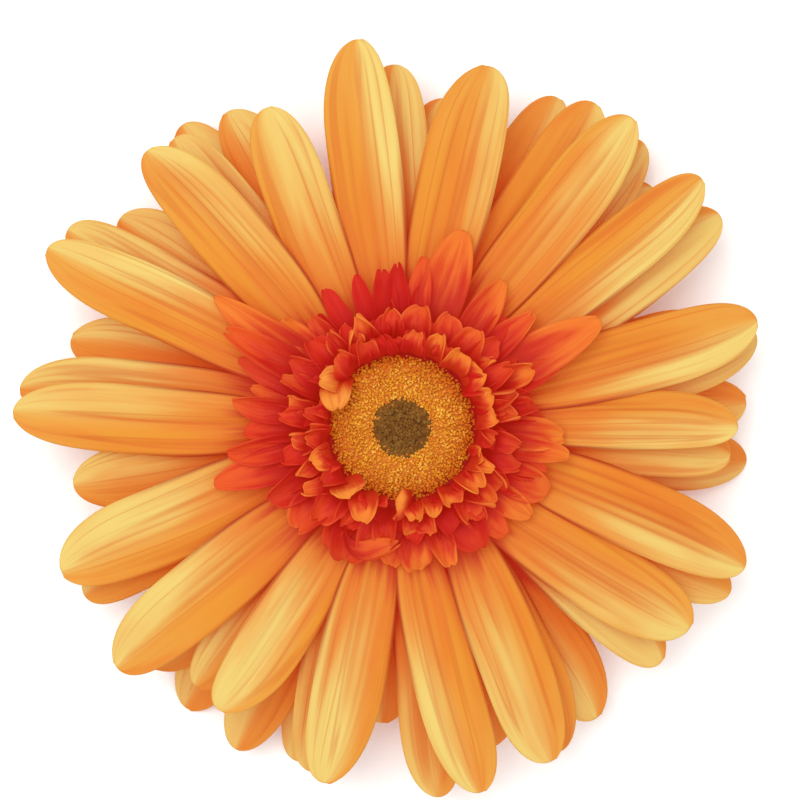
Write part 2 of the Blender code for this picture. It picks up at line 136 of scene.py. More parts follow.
# The whorls below it: bearing in degrees and reach in mm.
SECOND_PETALS = (
    (13.5, 53.7), (34.5, 56), (58.5, 55.2), (92, 53.1), (128.5, 53.9), (150, 57.1), (173.5, 56.4),
    (190, 48.7), (207, 52.6), (232.5, 48.3), (256, 52.3), (275, 54.7), (297, 52.9), (318.5, 51.2),
    (333.5, 53.9), (356, 48.1),
)
THIRD_PETALS = (
    (3.5, 51), (18, 47), (50, 55.2), (64.5, 53.8), (82.5, 48.7), (118, 53.2), (143, 51.8), (164.5, 50.5),
    (184.5, 43.5), (224.5, 51.2), (243, 53.7), (265, 43.5), (287, 49), (304.5, 51.8), (339, 47),
)
LOWEST_PETALS = (
    (16, 45), (43.5, 51.8), (76, 47), (99, 47), (126.5, 55.8), (154, 49), (178, 48), (202, 46),
    (231.5, 53.1), (253, 52.5), (281, 47), (324, 45), (354, 51.8),
)


@dataclass
class Whorl:
    """One whorl of ray petals: its place from below, how its petals rise and droop, and its own draws."""
    name: str
    level: int
    rise: float
    droop: float
    petals: tuple
    seed: int

    @property
    def root_height(self):
        return CUP_RIM + ROOT_OVER_RIM + self.level * WHORL_PITCH


WHORLS = (
    Whorl("ray_petals_lowest", 0, 2.7 * MM, 16.2 * MM, LOWEST_PETALS, 11),
    Whorl("ray_petals_third", 1, 3.2 * MM, 14.0 * MM, THIRD_PETALS, 12),
    Whorl("ray_petals_second", 2, 3.7 * MM, 11.0 * MM, SECOND_PETALS, 13),
    Whorl("ray_petals_upper", 3, 4.2 * MM, 8.0 * MM, UPPER_PETALS, 14),
)

# Trans florets as the photograph shows them: bearing of the tip in degrees, its reach and the width in mm,
# height of the tip over the core in mm, half the angle of its hollow, degrees by which its root stands
# aside, twist, hue from red 0 over orange 1 to golden 1.6, and how golden its rim is. One that sweeps
# sideways adds how far out it bends, in mm.
OUTER_FLORETS = (
    (9, 19.4, 3.8, 3.2, 1.3, 0, 0.6, 0.1, 0.2), (13.5, 18.8, 3.2, 3.5, 1.5, 6, -0.5, 0, 0.1),
    (21.5, 24.4, 5.2, 2.2, 0.6, 0, 0.3, 0.2, 0), (24, 20.8, 4.2, 4, 1, 3, -0.5, 0.85, 0.3),
    (28, 32.2, 7.6, 1.5, -0.2, 0, 0.2, 0.75, 0.4), (41, 25.2, 5.4, 2.6, 0.9, 0, 0.4, 0.3, 0.6),
    (55.5, 25.6, 5.4, 2, 0.5, -2, -0.2, 0.7, 0), (73, 29.8, 7.4, 1.2, 0.2, 0, 0.1, 0.75, 0),
    (82.5, 24.8, 4.2, 2.2, 0.6, 0, 0.3, 0.25, 0), (91.5, 23.3, 3.8, 2.2, 0.7, 0, 0.2, 0, 0),
    (97.5, 23, 4.4, 2.8, 0.5, 0, -0.3, 0, 0), (106.5, 22.6, 3.2, 3, 0.9, 0, 0.3, 0, 0),
    (119, 22.9, 3.6, 2.8, 0.8, 0, -0.3, 0, 0), (129.5, 20.2, 4, 3, 0.6, 0, 0.4, 0.3, 0),
    (138, 23.4, 4.6, 2, 0.3, 0, 0.3, 0.8, 0.1), (145.5, 33, 6.4, 1.5, 0.4, 0, 0.2, 0.85, 0),
    (151.5, 29, 5.2, 2.2, 0.5, 0, -0.2, 0.3, 0), (158, 25.5, 5, 3, 0.7, 0, 0.4, 0.15, 0.1),
    (165, 22.5, 4.2, 2.4, 0.9, 0, -0.4, 0.45, 0.3), (172, 24.8, 4.6, 3.2, 0.9, 0, 0.5, 0.3, 0.1),
    (181, 23, 4.6, 2.4, 0.6, 0, -0.3, 0.1, 0), (189, 25.5, 4.6, 3, 0.8, 0, 0.4, 0.2, 0),
    (197, 28.2, 6.4, 2.2, 0.8, 0, -0.3, 0.25, 0.1), (208, 21.8, 5.8, 3.2, 1, 0, 0.6, 0.1, 0.2),
    (224, 21.2, 6.8, 3.6, 0.9, -4, -0.4, 0.25, 0.5), (238, 20.2, 5.2, 2.4, 0.7, 0, 0.3, 0.15, 0),
    (247, 20.8, 6.6, 2.4, 0.4, -5, 0.2, 0.2, 0),
    (268, 15.8, 6.6, 4.6, 0.35, -36, 0.35, 0.4, 0.2, 25), (265, 20.5, 4.8, 2, 0.6, 0, -0.3, 0.6, 0.1),
    (276, 21, 5.4, 2, 0.4, 0, 0.2, 0.85, 0.1), (288.5, 20.8, 4.6, 3.4, 1.1, 0, 0.5, 0.6, 0.7),
    (303, 20.6, 7, 3.2, 0.7, 0, -0.3, 0.1, 0), (314, 21.6, 4.8, 2.2, 0.8, 0, 0.4, 0.25, 0),
    (325, 22.6, 5, 1.6, 0.4, 0, -0.2, 0.85, 0), (335.5, 23.4, 6.2, 2.2, 0.3, 0, -0.1, 0.55, 0),
    (343, 22, 4.4, 3, 0.7, 0, 0.3, 0.2, 0.1), (350.5, 24.4, 4.8, 3, 0.9, 0, 0.4, 0.8, 0.8),
    (357, 23.7, 5.8, 2.2, 0.3, 0, 0.1, 1, 0.3),
)
MIDDLE_FLORETS = (
    (6, 16.8, 3.8, 5.4, 1.4, 3, 0.9, 0.4, 0.7), (12.5, 15, 3.4, 5, 1.2, 0, -0.5, 0.2, 0.1),
    (18.5, 17, 3.8, 5.7, 1.7, -3, -0.7, 0.3, 0.7), (28, 17.6, 4, 4.6, 1, 0, 0.6, 0.15, 0.1),
    (37, 16.6, 3.2, 6, 1.4, 5, 1.1, 0.6, 0.9), (43, 18.2, 4.6, 4.2, 0.8, 0, -0.4, 0.1, 0),
    (51.5, 17.6, 6, 5.6, 1, -2, 0.3, 0.35, 0.3), (66.5, 17.8, 5.8, 5.2, 0.9, -5, -0.5, 0.2, 0.4),
    (81, 17.6, 5.4, 5.2, 0.9, 2, 0.4, 0.3, 0.2), (90, 15.4, 3.6, 4.8, 1, 0, -0.6, 0.05, 0),
    (96, 17, 5.6, 5.4, 0.8, 2, 0.5, 0.1, 0.7), (104, 15.6, 3.8, 5.2, 1.2, 0, -0.5, 0, 0.1),
    (111, 17.2, 4, 6, 1.5, -4, 0.9, 0.6, 0.8), (117, 15.4, 3.4, 6.4, 1.4, 5, -1, 0.7, 0.8),
    (127, 17.2, 4, 5.4, 1.6, 0, 0.6, 0.15, 0.4), (137, 18.4, 4.8, 4.4, 0.6, 0, -0.4, 0.05, 0),
    (148, 18.6, 4.6, 4.6, 0.8, 3, 0.5, 0.1, 0.1), (157, 18.8, 3.6, 5.2, 1.3, 0, -0.7, 0.35, 0.3),
    (165.5, 16.8, 3.6, 5.9, 1.2, 6, 1, 0.6, 0.4), (175, 17.8, 4, 4.8, 1, 0, -0.5, 0.1, 0),
    (185, 16, 3.8, 5.9, 1.7, 4, 0.8, 0.4, 0.8), (194, 18, 4.2, 4.6, 0.9, 0, -0.5, 0.05, 0),
    (205, 16.4, 3.8, 6, 1.6, -5, 0.9, 0.45, 0.8), (214, 16.8, 3.4, 5.2, 1.3, 6, -0.8, 0.5, 0.7),
    (226, 18, 6.2, 5, 0.9, 0, 0.4, 0.15, 0.2), (240, 16.8, 4.8, 4.8, 0.9, 0, -0.4, 0.05, 0),
    (252.5, 18.6, 6.8, 4.8, 0.5, 14, 0.5, 0.3, 0), (264, 16.2, 4.4, 5, 0.9, -5, -0.7, 0.25, 0.2),
    (275, 15.8, 4.2, 5.4, 1, 4, 0.6, 0.7, 0.3), (287, 15.6, 4, 5.8, 1.2, -6, -0.8, 0.35, 0.3),
    (296, 17.6, 4.2, 4.4, 1, 0, 0.4, 0.05, 0), (305.5, 16.4, 4.8, 5.4, 0.8, 10, 0.6, 0.3, 0.2),
    (313, 17.2, 3.8, 4.6, 1.2, 0, -0.5, 0.1, 0.1), (320.5, 17.2, 4.4, 5.8, 1.3, -6, 0.8, 0.6, 0.4),
    (331, 16.8, 3.8, 5, 1.2, 3, -0.9, 0.45, 0.4), (341, 17.6, 4.4, 4.6, 1, 0, 0.5, 0.15, 0.1),
    (352, 16.8, 4.2, 5.2, 1.1, 0, -0.5, 0.2, 0.2),
)
INNER_FLORETS = (
    (6, 13.6, 4, 7.6, 0.9, 2, 0.3, 1.2, 0.2), (20.5, 13.9, 4.2, 7.6, 0.7, -2, -0.2, 1.12, 0.2),
    (35, 14.1, 5, 7.8, 0.6, 4, 0.3, 1.2, 0.3), (52, 13.7, 4.6, 7.9, 0.9, -3, -0.4, 1.35, 0.3),
    (66.5, 14.2, 3.8, 7.4, 1.3, 0, 0.6, 1.27, 0.5), (81, 13.9, 4.2, 7.2, 0.8, 3, 0.3, 0.4, 0.2),
    (94, 13.3, 4.2, 6.8, 0.7, -3, -0.4, 0.05, 0.1), (107, 13.7, 4, 7, 0.9, 0, 0.5, 0, 0.1),
    (119, 13.5, 3.8, 6.8, 0.8, 4, -0.4, 0.05, 0.2), (131, 14.1, 4, 7, 1, -4, 0.5, 0.25, 0.2),
    (150, 13.6, 4.4, 7.9, 0.5, -10, -0.5, 1.6, 0.8), (165, 9.6, 5.2, 8.1, -0.5, -24, 0.3, 1.6, 0.8),
    (172, 13.9, 3.6, 7, 1.1, 0, -0.6, 0.15, 0.1), (185, 13.3, 3.6, 7.2, 1.2, 3, 0.5, 0.2, 0.4),
    (200.5, 13.5, 4.6, 7.8, 0.9, 0, 0.3, 1.35, 0.4), (215, 13.7, 3.8, 7, 1.1, 3, -0.6, 0.1, 0.1),
    (233, 12, 5.6, 8.2, 0.4, -12, 0.5, 1.5, 0.5), (248, 14.2, 4.8, 7.7, 0.7, -10, -0.4, 1.4, 0.4),
    (266, 11, 5.2, 7.7, 0.5, 10, 0.4, 1.5, 0.5), (279, 13.3, 3.6, 7.2, 1.1, 0, -0.6, 1.05, 0.2),
    (290, 13.3, 3.8, 7.2, 0.9, 3, 0.5, 1.2, 0.4), (303, 12.9, 4.2, 7.4, 0.7, 6, 0.4, 0.83, 0.3),
    (321, 13.9, 4.4, 7.6, 0.8, 4, 0.4, 1.35, 0.3), (334, 14.1, 3.6, 7.6, 1.2, 0, 0.7, 1.2, 0.4),
    (343, 12, 3.6, 8.1, 0.9, -5, 0.3, 1.35, 0.2), (354, 13.5, 3.4, 7, 1.1, 0, -0.5, 0.3, 0.1),
)


@dataclass
class FloretRow:
    """One row of trans florets: where its florets stand, how they rise and bend, and its own draws."""
    name: str
    root: tuple          # radius, and height over the core, where the florets stand
    bend: tuple          # radius, and height over the core, towards which a floret first rises
    root_width: float    # share of its width that a floret has at the root
    band: tuple          # inner and outer radius, lowest and highest height over the core, of their roots
    florets: tuple
    between: tuple       # lowest and highest reach and tip of the short ones between the others, in mm
    frill: float         # height of the waves along their edges
    dark: float          # how dark their roots are, with painted shade
    seed: int


FLORET_ROWS = (
    FloretRow("trans_florets_outer", (12.4 * MM, 1.1 * MM), (16.5 * MM, 5.4 * MM), 0.42,
              (10.4 * MM, 13.2 * MM, 0.4 * MM, 1.8 * MM), OUTER_FLORETS, (17.5, 21.5, 1.2, 2.4),
              0.16 * MM, 1.0, 21),
    FloretRow("trans_florets_middle", (11.9 * MM, 2.7 * MM), (13.6 * MM, 7.4 * MM), 0.52,
              (10.4 * MM, 12.5 * MM, 2.1 * MM, 3.3 * MM), MIDDLE_FLORETS, (14.5, 17.5, 3.6, 5.0),
              0.26 * MM, 0.9, 22),
    FloretRow("trans_florets_inner", (10.7 * MM, 3.4 * MM), (11.3 * MM, 9.2 * MM), 0.66,
              (9.9 * MM, 11.1 * MM, 2.2 * MM, 3.2 * MM), INNER_FLORETS, (12.2, 13.4, 6.0, 6.9),
              0.20 * MM, 0.22, 23),
)
SHORT_FLORETS = 16
FLORET_GRID = (24, 12)      # rows along a floret and columns across it
FLORET_THICKNESS = 0.34 * MM
FLORET_TIP_ROW = 0.985
FLORET_ROW_POWER = 1.35
FLORET_SWELL = 0.64         # how far along a half wave its width runs from root to tip
BEND_SLANT = 0.6            # share of the root's slant that is left at the bend
ROLL_START = 0.25           # place across from which an edge turns in
FOLD_SOFTNESS = 0.02
ROOT_SHADE_END = 0.62             # share of its length over which the painted shade of the root fades
BAND_BEVEL = 0.4 * MM
# The range from which each floret's own values are drawn, in this order.
FLORET_DRAWS = {
    "bluntness": (2.0, 5.0),      # exponent of the tip's outline
    "fold": (-0.35, 0.50),        # slope of its two halves against each other
    "roll": (-0.6, 0.8),          # how far both edges turn in, if over 0
    "curl": (-1.0, 0.7),          # mm that its tip gains in height at the end
    "frill": (0.6, 1.9),          # share of the row's frill
    "waves": (1.2, 2.8),          # number of waves along its edges
    "phase": (0, 6.28),
}
NICK_PLACES = (-0.5, 0.5)
NICK_DEPTHS = (0.0, 0.0, 0.03, 0.07)
NICK_BREADTHS = (0.2, 0.35)

# Surface of the disc: radius, and height over its base, in mm
DOME = ((10.1, 2.7), (9.8, 3.6), (9.1, 4.4), (8.2, 5.0), (7.2, 5.4), (6.2, 5.6), (5.3, 5.5), (4.5, 5.2),
        (0, 5.2))
DISC_BODY_BASE = 0.3            # mm over its base, as the next one
DISC_BODY_TOP = 4.9
DISC_BODY_INSET = 0.15 * MM     # how far inside the surface the body under the grains stays
DISC_BODY_SINK = 0.35           # mm by which it stays below the surface
DISC_GRAIN_SINK = 0.1 * MM
EYE_TOP = EYE_HIGH.z - 0.35 * MM
EYE_BODY_RIM = EYE_TOP - 0.55 * MM
EYE_BODY_TOP = EYE_TOP - 0.3 * MM
EYE_GRAIN_TOP = EYE_TOP - 0.16 * MM
EYE_ROUNDING = 0.5 * MM         # how much lower its outermost grains stand


@dataclass
class Grains:
    """The crowded grains of one part of the disc. Each draws its half girth, half length and lean."""
    inner: float
    outer: float
    spacing: float
    girth: tuple
    length: tuple
    lean: tuple
    seed: int


DISC_GRAINS = Grains(EYE_RADIUS * 0.95, DISC_RADIUS + 0.5 * MM, 0.198 * MM, (0.13 * MM, 0.23 * MM),
                     (0.22 * MM, 0.42 * MM), (0.0, 0.9), 41)
EYE_GRAINS = Grains(0.0, EYE_RADIUS, 0.235 * MM, (0.25 * MM, 0.35 * MM), (0.16 * MM, 0.22 * MM), (0.0, 0.3),
                    42)
GOLDEN_ANGLE = math.pi * (3 - math.sqrt(5))
GRAIN_STRAY = 0.6               # share of the spacing
GRAIN_TURN_STRAY = 0.05
GRAIN_HEIGHTS = (-0.4, 0.5)     # share of the least half length

# Stem and green cup, in the form of the solids
STEM_RADIUS = (STEM_HIGH.x - STEM_LOW.x) / 2
STEM_RIBS = 12
STEM_RIB_DEPTH = 0.03           # share of its radius
CUP_NECK_RADIUS = 3.5 * MM
CUP_RADIUS = 12.2 * MM
CUP_HEIGHT = 7.9 * MM
CUP_LOW = STEM_TOP + 0.3 * MM
CUP_CURVE_STEPS = 16
CORE_RADIUS = 9.0 * MM
BRACTS_IN_A_ROW = 9
BRACT_GRID = (16, 8)            # rows along a bract and columns across it
BRACT_THICKNESS = 0.45 * MM
BRACT_SINK = 0.3 * MM           # how deep its root stands in the cup
BRACT_SURFACES = 0.33           # share of its length at which it has come out of the cup
BRACT_FLARE = 0.5 * MM          # how far its tip bends outwards
BRACT_TAPER = 0.95
BRACT_TAPER_POWER = 2.4
BRACT_ARCH = 0.16
BRACT_RIB = 0.16 * MM
BRACT_RIB_BREADTH = 0.16
BRACT_STRAY = 0.06
BRACT_SEED = 31
# Each row of bracts: from where to where on the cup's side they reach, their width and how far they stand
# off it.
BRACT_ROWS = (
    (0.12, 0.62, 4.0 * MM, 2.12 * MM), (0.25, 0.85, 4.3 * MM, 1.42 * MM), (0.42, 1.02, 4.5 * MM, 0.72 * MM),
)
STEM_HAIRS = 360
BRACT_HAIRS = 30                # on each bract
EDGE_HAIRS = 0.7                # share of them that grow on its edges
HAIR_RADII = (0.035 * MM, 0.03 * MM)    # on the stem and on the bracts
HAIR_TAPER = 0.15
HAIR_SEED = 51

TURN_STEPS = 72
CUP_STEPS = 64
EYE_STEPS = 48
PICTURE_PIXELS = 800
PIXEL = 0.145 * MM
AXIS_PIXEL = Vector((402, 427))    # where the flower's axis stands in the photograph
FLOOR_HALF = 3.0
LIGHT_AIM = Vector((0, 0, 0.01))


def add(tree, kind, inputs=None, **settings):
    """Adds a node with its settings; an input is a plain value or the socket that feeds it."""
    node = tree.nodes.new(kind)
    for name, value in settings.items():
        setattr(node, name, value)
    for name, value in (inputs or {}).items():
        if isinstance(value, bpy.types.NodeSocket):
            tree.links.new(value, node.inputs[name])
        else:
            node.inputs[name].default_value = value
    return node


def calc(operation, first, second, clamped=False):
    """One step of arithmetic, in the tree that the first socket is in."""
    return add(first.id_data, "ShaderNodeMath", {0: first, 1: second}, operation=operation,
               use_clamp=clamped).outputs[0]


def times(first, *others):
    """The product of a socket and other sockets or numbers, from left to right."""
    for other in others:
        first = calc("MULTIPLY", first, other)
    return first


def plus(first, *others):
    """The sum of a socket and other sockets or numbers, from left to right."""
    for other in others:
        first = calc("ADD", first, other)
    return first


def away(value):
    """How far a value lies from 0, on either side."""
    return calc("ABSOLUTE", value, 0.0)


def noise(place, scale, detail):
    """Soft noise from 0 to 1."""
    return add(place.id_data, "ShaderNodeTexNoise", {
        "Vector": place, "Scale": scale, "Detail": detail}).outputs["Fac"]


def skin(tree):
    """Places on the surface of the piece."""
    return add(tree, "ShaderNodeTexCoord").outputs["Object"]


def fade(value, low, high):
    """Rises smoothly from 0 where value is low to 1 where it is high; low may be the larger one."""
    steps = {"Value": value, "From Min": low, "From Max": high}
    return add(value.id_data, "ShaderNodeMapRange", steps, interpolation_type="SMOOTHSTEP").outputs[0]


def stain(share, ground, colour):
    """Lays a colour over the ground, by share. Either may be a plain colour or a socket."""
    return add(share.id_data, "ShaderNodeMix", {0: share, 6: ground, 7: colour}, data_type="RGBA").outputs[2]


def rgb(red, green, blue):
    """A colour as the eye reads it, from 0 to 255, in the shader's linear values."""
    def linear(level):
        level /= 255
        return level / 12.92 if level <= 0.04045 else ((level + 0.055) / 1.055) ** 2.4
    return (linear(red), linear(green), linear(blue), 1.0)


def make_petal_grain():
    """Streaks, veins and thin lines that run along a petal, soft patches and the small cells of its skin."""
    group = bpy.data.node_groups.new("petal grain", "ShaderNodeTree")
    sockets = {"INPUT": ("Across", "Along", "Seed", "Veins"),
               "OUTPUT": ("Streak", "Vein", "Line", "Patch", "Cells")}
    for way, labels in sockets.items():
        for label in labels:
            group.interface.new_socket(label, in_out=way, socket_type="NodeSocketFloat")
    given = group.nodes.new("NodeGroupInput").outputs
    result = group.nodes.new("NodeGroupOutput").inputs
    seed = times(given["Seed"], 53.0)

    def lengthwise(across, along, detail):
        place = add(group, "ShaderNodeCombineXYZ", {
            0: times(given["Across"], across), 1: times(given["Along"], along), 2: seed})
        return noise(place.outputs[0], 1.0, detail)

    course = away(plus(lengthwise(2.6, 0.45, 0.0), -0.5))
    cells = add(group, "ShaderNodeTexVoronoi", {"Vector": skin(group), "Scale": 9000.0})
    parts = {
        "Streak": lengthwise(2.6, 2.2, 3.0), "Vein": lengthwise(given["Veins"], 1.3, 2.0),
        "Line": fade(course, 0.045, 0.008), "Patch": lengthwise(1.1, 1.7, 2.0),
        "Cells": cells.outputs["Distance"]}
    for label, socket in parts.items():
        group.links.new(socket, result[label])
    return group


PETAL_GRAIN = make_petal_grain()


class Finish:
    """A material under way: its tree, its shader and what the petal-like pieces carry on their points."""

    def __init__(self, name, roughness, sheen=0.0, specular=0.35, glow=(0.0, 0.0, 0.0)):
        self.material = bpy.data.materials.new(name)
        self.material.use_nodes = True
        self.tree = self.material.node_tree
        self.shader = self.tree.nodes["Principled BSDF"]
        # glow: an even emission, a painted glow that stands in for the light the tissue lets through
        self.glow = glow
        values = {
            "Roughness": roughness, "Specular IOR Level": specular, "Sheen Weight": sheen,
            "Sheen Roughness": 0.5, "Emission Color": (*glow, 1.0), "Emission Strength": float(any(glow))}
        for label, value in values.items():
            self.shader.inputs[label].default_value = value

    def carried(self, label):
        """The three values that a piece carries under this label."""
        vector = add(self.tree, "ShaderNodeAttribute", attribute_name=label).outputs["Vector"]
        return add(self.tree, "ShaderNodeSeparateXYZ", {0: vector}).outputs

    def grain(self, across, along, seed, veins):
        """The petal grain at a place on a petal."""
        places = {"Across": across, "Along": along, "Seed": seed, "Veins": veins}
        return add(self.tree, "ShaderNodeGroup", places, node_tree=PETAL_GRAIN).outputs

    def tone(self, red, green, blue):
        """The colour that a tissue needs so that, with its painted glow added, it looks like this. The glow
        is an even emission that stands in for the light the tissue lets through.
        """
        seen = rgb(red, green, blue)
        return (*(max(0.0, level - through) for level, through in zip(seen, self.glow)), 1.0)

    def over(self, ground, share, strength, *shade):
        """Lays a shade over the ground where share says, as strongly as strength says."""
        return stain(times(share, strength), ground, self.tone(*shade))

    def colour(self, socket):
        self.tree.links.new(socket, self.shader.inputs["Base Color"])

    def relief(self, height, depth, strength=1.0):
        bump = add(self.tree, "ShaderNodeBump", {"Height": height, "Distance": depth, "Strength": strength})
        self.tree.links.new(bump.outputs[0], self.shader.inputs["Normal"])


def ray_finish():
    """Orange petals, golden on one side of their fold, partly their own paler tone and partly painted light
    on the side that lies on top, redder at the root, and paler on the back. Painted shade reddens them in the
    creases, along their edges near the root and behind the other petals on the lower whorls. A painted glow,
    an even emission, stands in for the light that passes through them and keeps their shades warm."""
    finish = Finish("ray petal", 0.6, specular=0.12, glow=(0.27, 0.010, 0.001))
    tone, over = finish.tone, finish.over
    across, along, seed = finish.carried("place")
    gold_and_light, groove_shade, depth = finish.carried("tint")
    grain = finish.grain(across, along, seed, 8.0)
    streak = plus(grain["Streak"], -0.5)
    patch = plus(grain["Patch"], -0.5)
    side = away(across)
    # inner is the place along, moved outwards on the lower whorls so that their red near the root reaches
    # further: painted shade under the petals above.
    inner = plus(along, times(depth, -0.22))
    outer = fade(along, 0.30, 0.95)

    share = plus(streak, times(patch, -1.6), 0.95, times(outer, 0.5))
    golden = calc("ADD", times(gold_and_light, share), times(outer, 0.20), clamped=True)
    plain = plus(times(golden, -0.7), 1.0)
    # Golden side of the fold: partly the petal's own paler tone, partly painted light on the side that lies
    # on top of its neighbour.
    colour = stain(golden, tone(213, 126, 36), tone(218, 178, 98))
    warm = times(fade(grain["Patch"], 0.44, 0.66), plain)
    colour = over(colour, warm, 0.5, 212, 94, 25)
    # Painted shade: the lower whorls darker and redder, less on their golden side.
    colour = over(colour, times(depth, plain), 0.6, 214, 98, 26)
    vein = fade(grain["Vein"], 0.50, 0.70)
    colour = over(colour, vein, 0.22, 207, 108, 34)
    line = times(grain["Line"], fade(along, 0.97, 0.70))
    colour = over(colour, line, 0.38, 198, 86, 26)
    # Painted shade in the grooves.
    colour = over(colour, groove_shade, 0.7, 196, 84, 24)
    middle = fade(plus(inner, times(streak, 0.8)), 0.46, 0.10)
    colour = over(colour, middle, 0.65, 211, 100, 34)
    # Painted shade: a dark red line along the edges near the root, where the petals overlap.
    edge = times(fade(side, 0.86, 0.98), fade(inner, 0.58, 0.25))
    colour = over(colour, edge, 0.85, 166, 38, 14)
    root = fade(plus(inner, times(streak, 0.4)), 0.21, 0.08)
    colour = stain(root, colour, tone(192, 50, 26))
    rim = times(fade(side, 0.82, 1.0), fade(along, 0.45, 0.75))
    colour = over(colour, calc("MAXIMUM", fade(along, 0.94, 1.0), rim), 0.35, 214, 146, 56)

    back = stain(fade(along, 0.05, 0.75), tone(214, 118, 56), tone(224, 158, 86))
    back = over(back, vein, 0.45, 204, 96, 40)
    finish.colour(stain(fade(depth, -0.2, -0.8), colour, back))
    height = plus(times(plus(vein, line), -0.5), times(grain["Cells"], 0.12))
    finish.relief(height, 0.10 * MM, 0.5)
    return finish.material


def floret_finish():
    """Deep red trans florets that turn orange towards the tip and golden along parts of the rim. Painted
    shade darkens their roots and some of the florets, and a painted glow, an even emission, stands in for
    light that passes through them.
    """
    finish = Finish("trans floret", 0.6, specular=0.10, glow=(0.26, 0.006, 0.0015))
    tone, over = finish.tone, finish.over
    across, along, seed = finish.carried("place")
    hue, rim, dark = finish.carried("tint")
    grain = finish.grain(across, along, seed, 4.0)
    streak = plus(grain["Streak"], -0.5)
    reach = plus(along, times(streak, 0.9))

    colour = stain(fade(reach, 0.30, 0.95), tone(190, 24, 18), tone(212, 54, 29))
    warmth = times(fade(reach, 0.38, 0.98), hue)
    colour = stain(warmth, colour, tone(222, 124, 40))
    colour = over(colour, hue, 0.26, 212, 80, 28)
    colour = over(colour, fade(hue, 0.12, 0.0), 0.6, 190, 20, 13)
    ripe = times(fade(hue, 1.40, 1.60), fade(reach, 0.15, 0.65))
    colour = over(colour, ripe, 0.7, 221, 134, 52)
    # Painted shade on some of the red florets, picked at random.
    random_shade = times(fade(seed, 0.42, 0.12), fade(hue, 0.7, 0.2))
    colour = over(colour, random_shade, 0.45, 180, 18, 13)
    edge = calc("MAXIMUM", fade(away(across), 0.78, 1.0), fade(along, 0.90, 1.0))
    edge = times(edge, fade(plus(along, streak), 0.55, 0.85))
    colour = over(colour, edge, times(rim, 0.6), 222, 130, 52)
    vein = fade(grain["Vein"], 0.5, 0.7)
    colour = over(colour, vein, 0.25, 184, 24, 24)
    # Painted shade at the roots, where the florets crowd.
    finish.colour(stain(dark, colour, tone(160, 12, 15)))
    finish.relief(plus(times(vein, -0.6), times(grain["Cells"], 0.15)), 0.08 * MM, 0.5)
    return finish.material


def speckled_finish(name, tones, shade_and_patch, outermost, roughness, glow):
    """Small crowded things, each in its own tone along a row of them, with darker patches, painted shade at
    the bottom of each and another tone at the rim. A painted glow, an even emission, lifts their shades.
    """
    finish = Finish(name, roughness, specular=0.12, glow=glow)
    tree, over = finish.tree, finish.over
    tone, height, spread = finish.carried("tint")
    ramp = add(tree, "ShaderNodeValToRGB", {0: tone})
    stops = ramp.color_ramp.elements
    stops[0].color = finish.tone(*tones[0])
    stops[1].color = finish.tone(*tones[-1])
    for step, shade in enumerate(tones[1:-1], start=1):
        stops.new(step / (len(tones) - 1)).color = finish.tone(*shade)
    place = skin(tree)
    dust, drift = noise(place, 900.0, 3.0), noise(place, 240.0, 2.0)
    rim = times(fade(spread, 0.62, 1.0), fade(dust, 0.3, 0.6))
    colour = over(ramp.outputs[0], fade(drift, 0.42, 0.62), 0.4, *shade_and_patch)
    colour = stain(rim, colour, finish.tone(*outermost))
    # Painted shade at the bottom of each grain.
    finish.colour(over(colour, fade(height, 0.55, 0.0), 0.5, *shade_and_patch))
    finish.relief(dust, 0.03 * MM)
    return finish.material


def green_finish(name, dark, light, tip):
    """Green tissue with ribs along it, paler between them and tinged towards the tip."""
    finish = Finish(name, 0.5, sheen=0.2)
    across, along, seed = finish.carried("place")
    grain = finish.grain(across, along, seed, 7.0)
    colour = stain(fade(grain["Vein"], 0.35, 0.7), finish.tone(*dark), finish.tone(*light))
    colour = finish.over(colour, fade(away(across), 0.55, 1.0), 0.5, *light)
    finish.colour(finish.over(colour, fade(along, 0.72, 1.0), 0.8, *tip))
    finish.relief(plus(grain["Vein"], times(grain["Cells"], 0.3)), 0.1 * MM, 0.7)
    return finish.material


def plain_finish(name, first, second, scale, roughness):
    """Two close tones in soft patches, with a fine grain."""
    finish = Finish(name, roughness)
    patches = noise(skin(finish.tree), scale, 4.0)
    finish.colour(stain(fade(patches, 0.35, 0.65), first, second))
    finish.relief(patches, 0.05 * MM)
    return finish.material


def new_shape():
    """An empty bmesh whose points can carry their place on a petal and its tint."""
    shape = bmesh.new()
    shape.verts.layers.float_vector.new("place")
    shape.verts.layers.float_vector.new("tint")
    return shape


def gather(shape, part):
    """Moves a small finished part into the shape of its piece."""
    mesh = bpy.data.meshes.new("part")
    part.to_mesh(mesh)
    part.free()
    shape.from_mesh(mesh)
    bpy.data.meshes.remove(mesh)


def mark(part, place, tint, finish=0):
    """Writes one place, one tint and one finish on a whole part."""
    layers = part.verts.layers.float_vector
    for point in part.verts:
        point[layers["place"]] = place
        point[layers["tint"]] = tint
    for face in part.faces:
        face.material_index = finish


def put(name, data):
    """Puts a mesh, a light or a camera into the scene."""
    made = bpy.data.objects.new(name, data)
    bpy.context.scene.collection.objects.link(made)
    return made


def object_from(shape, name, *finishes):
    """Puts a finished shape into the scene."""
    mesh = bpy.data.meshes.new(name)
    shape.to_mesh(mesh)
    shape.free()
    for finish in finishes:
        mesh.materials.append(finish)
    return put(name, mesh)


def piece_from(shape, name, finishes, slot, *nodes):
    """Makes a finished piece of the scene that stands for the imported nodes."""
    bmesh.ops.recalc_face_normals(shape, faces=shape.faces[:])
    piece = object_from(shape, name, *finishes)
    piece.data.shade_smooth()
    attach(piece, "root")
    if nodes:
        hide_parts(*nodes)


def around(bearing, outwards, sideways, height):
    """A point given in a petal's own directions, turned to its bearing round the flower's axis."""
    return AXIS + Matrix.Rotation(bearing, 3, "Z") @ Vector((outwards, sideways, height))


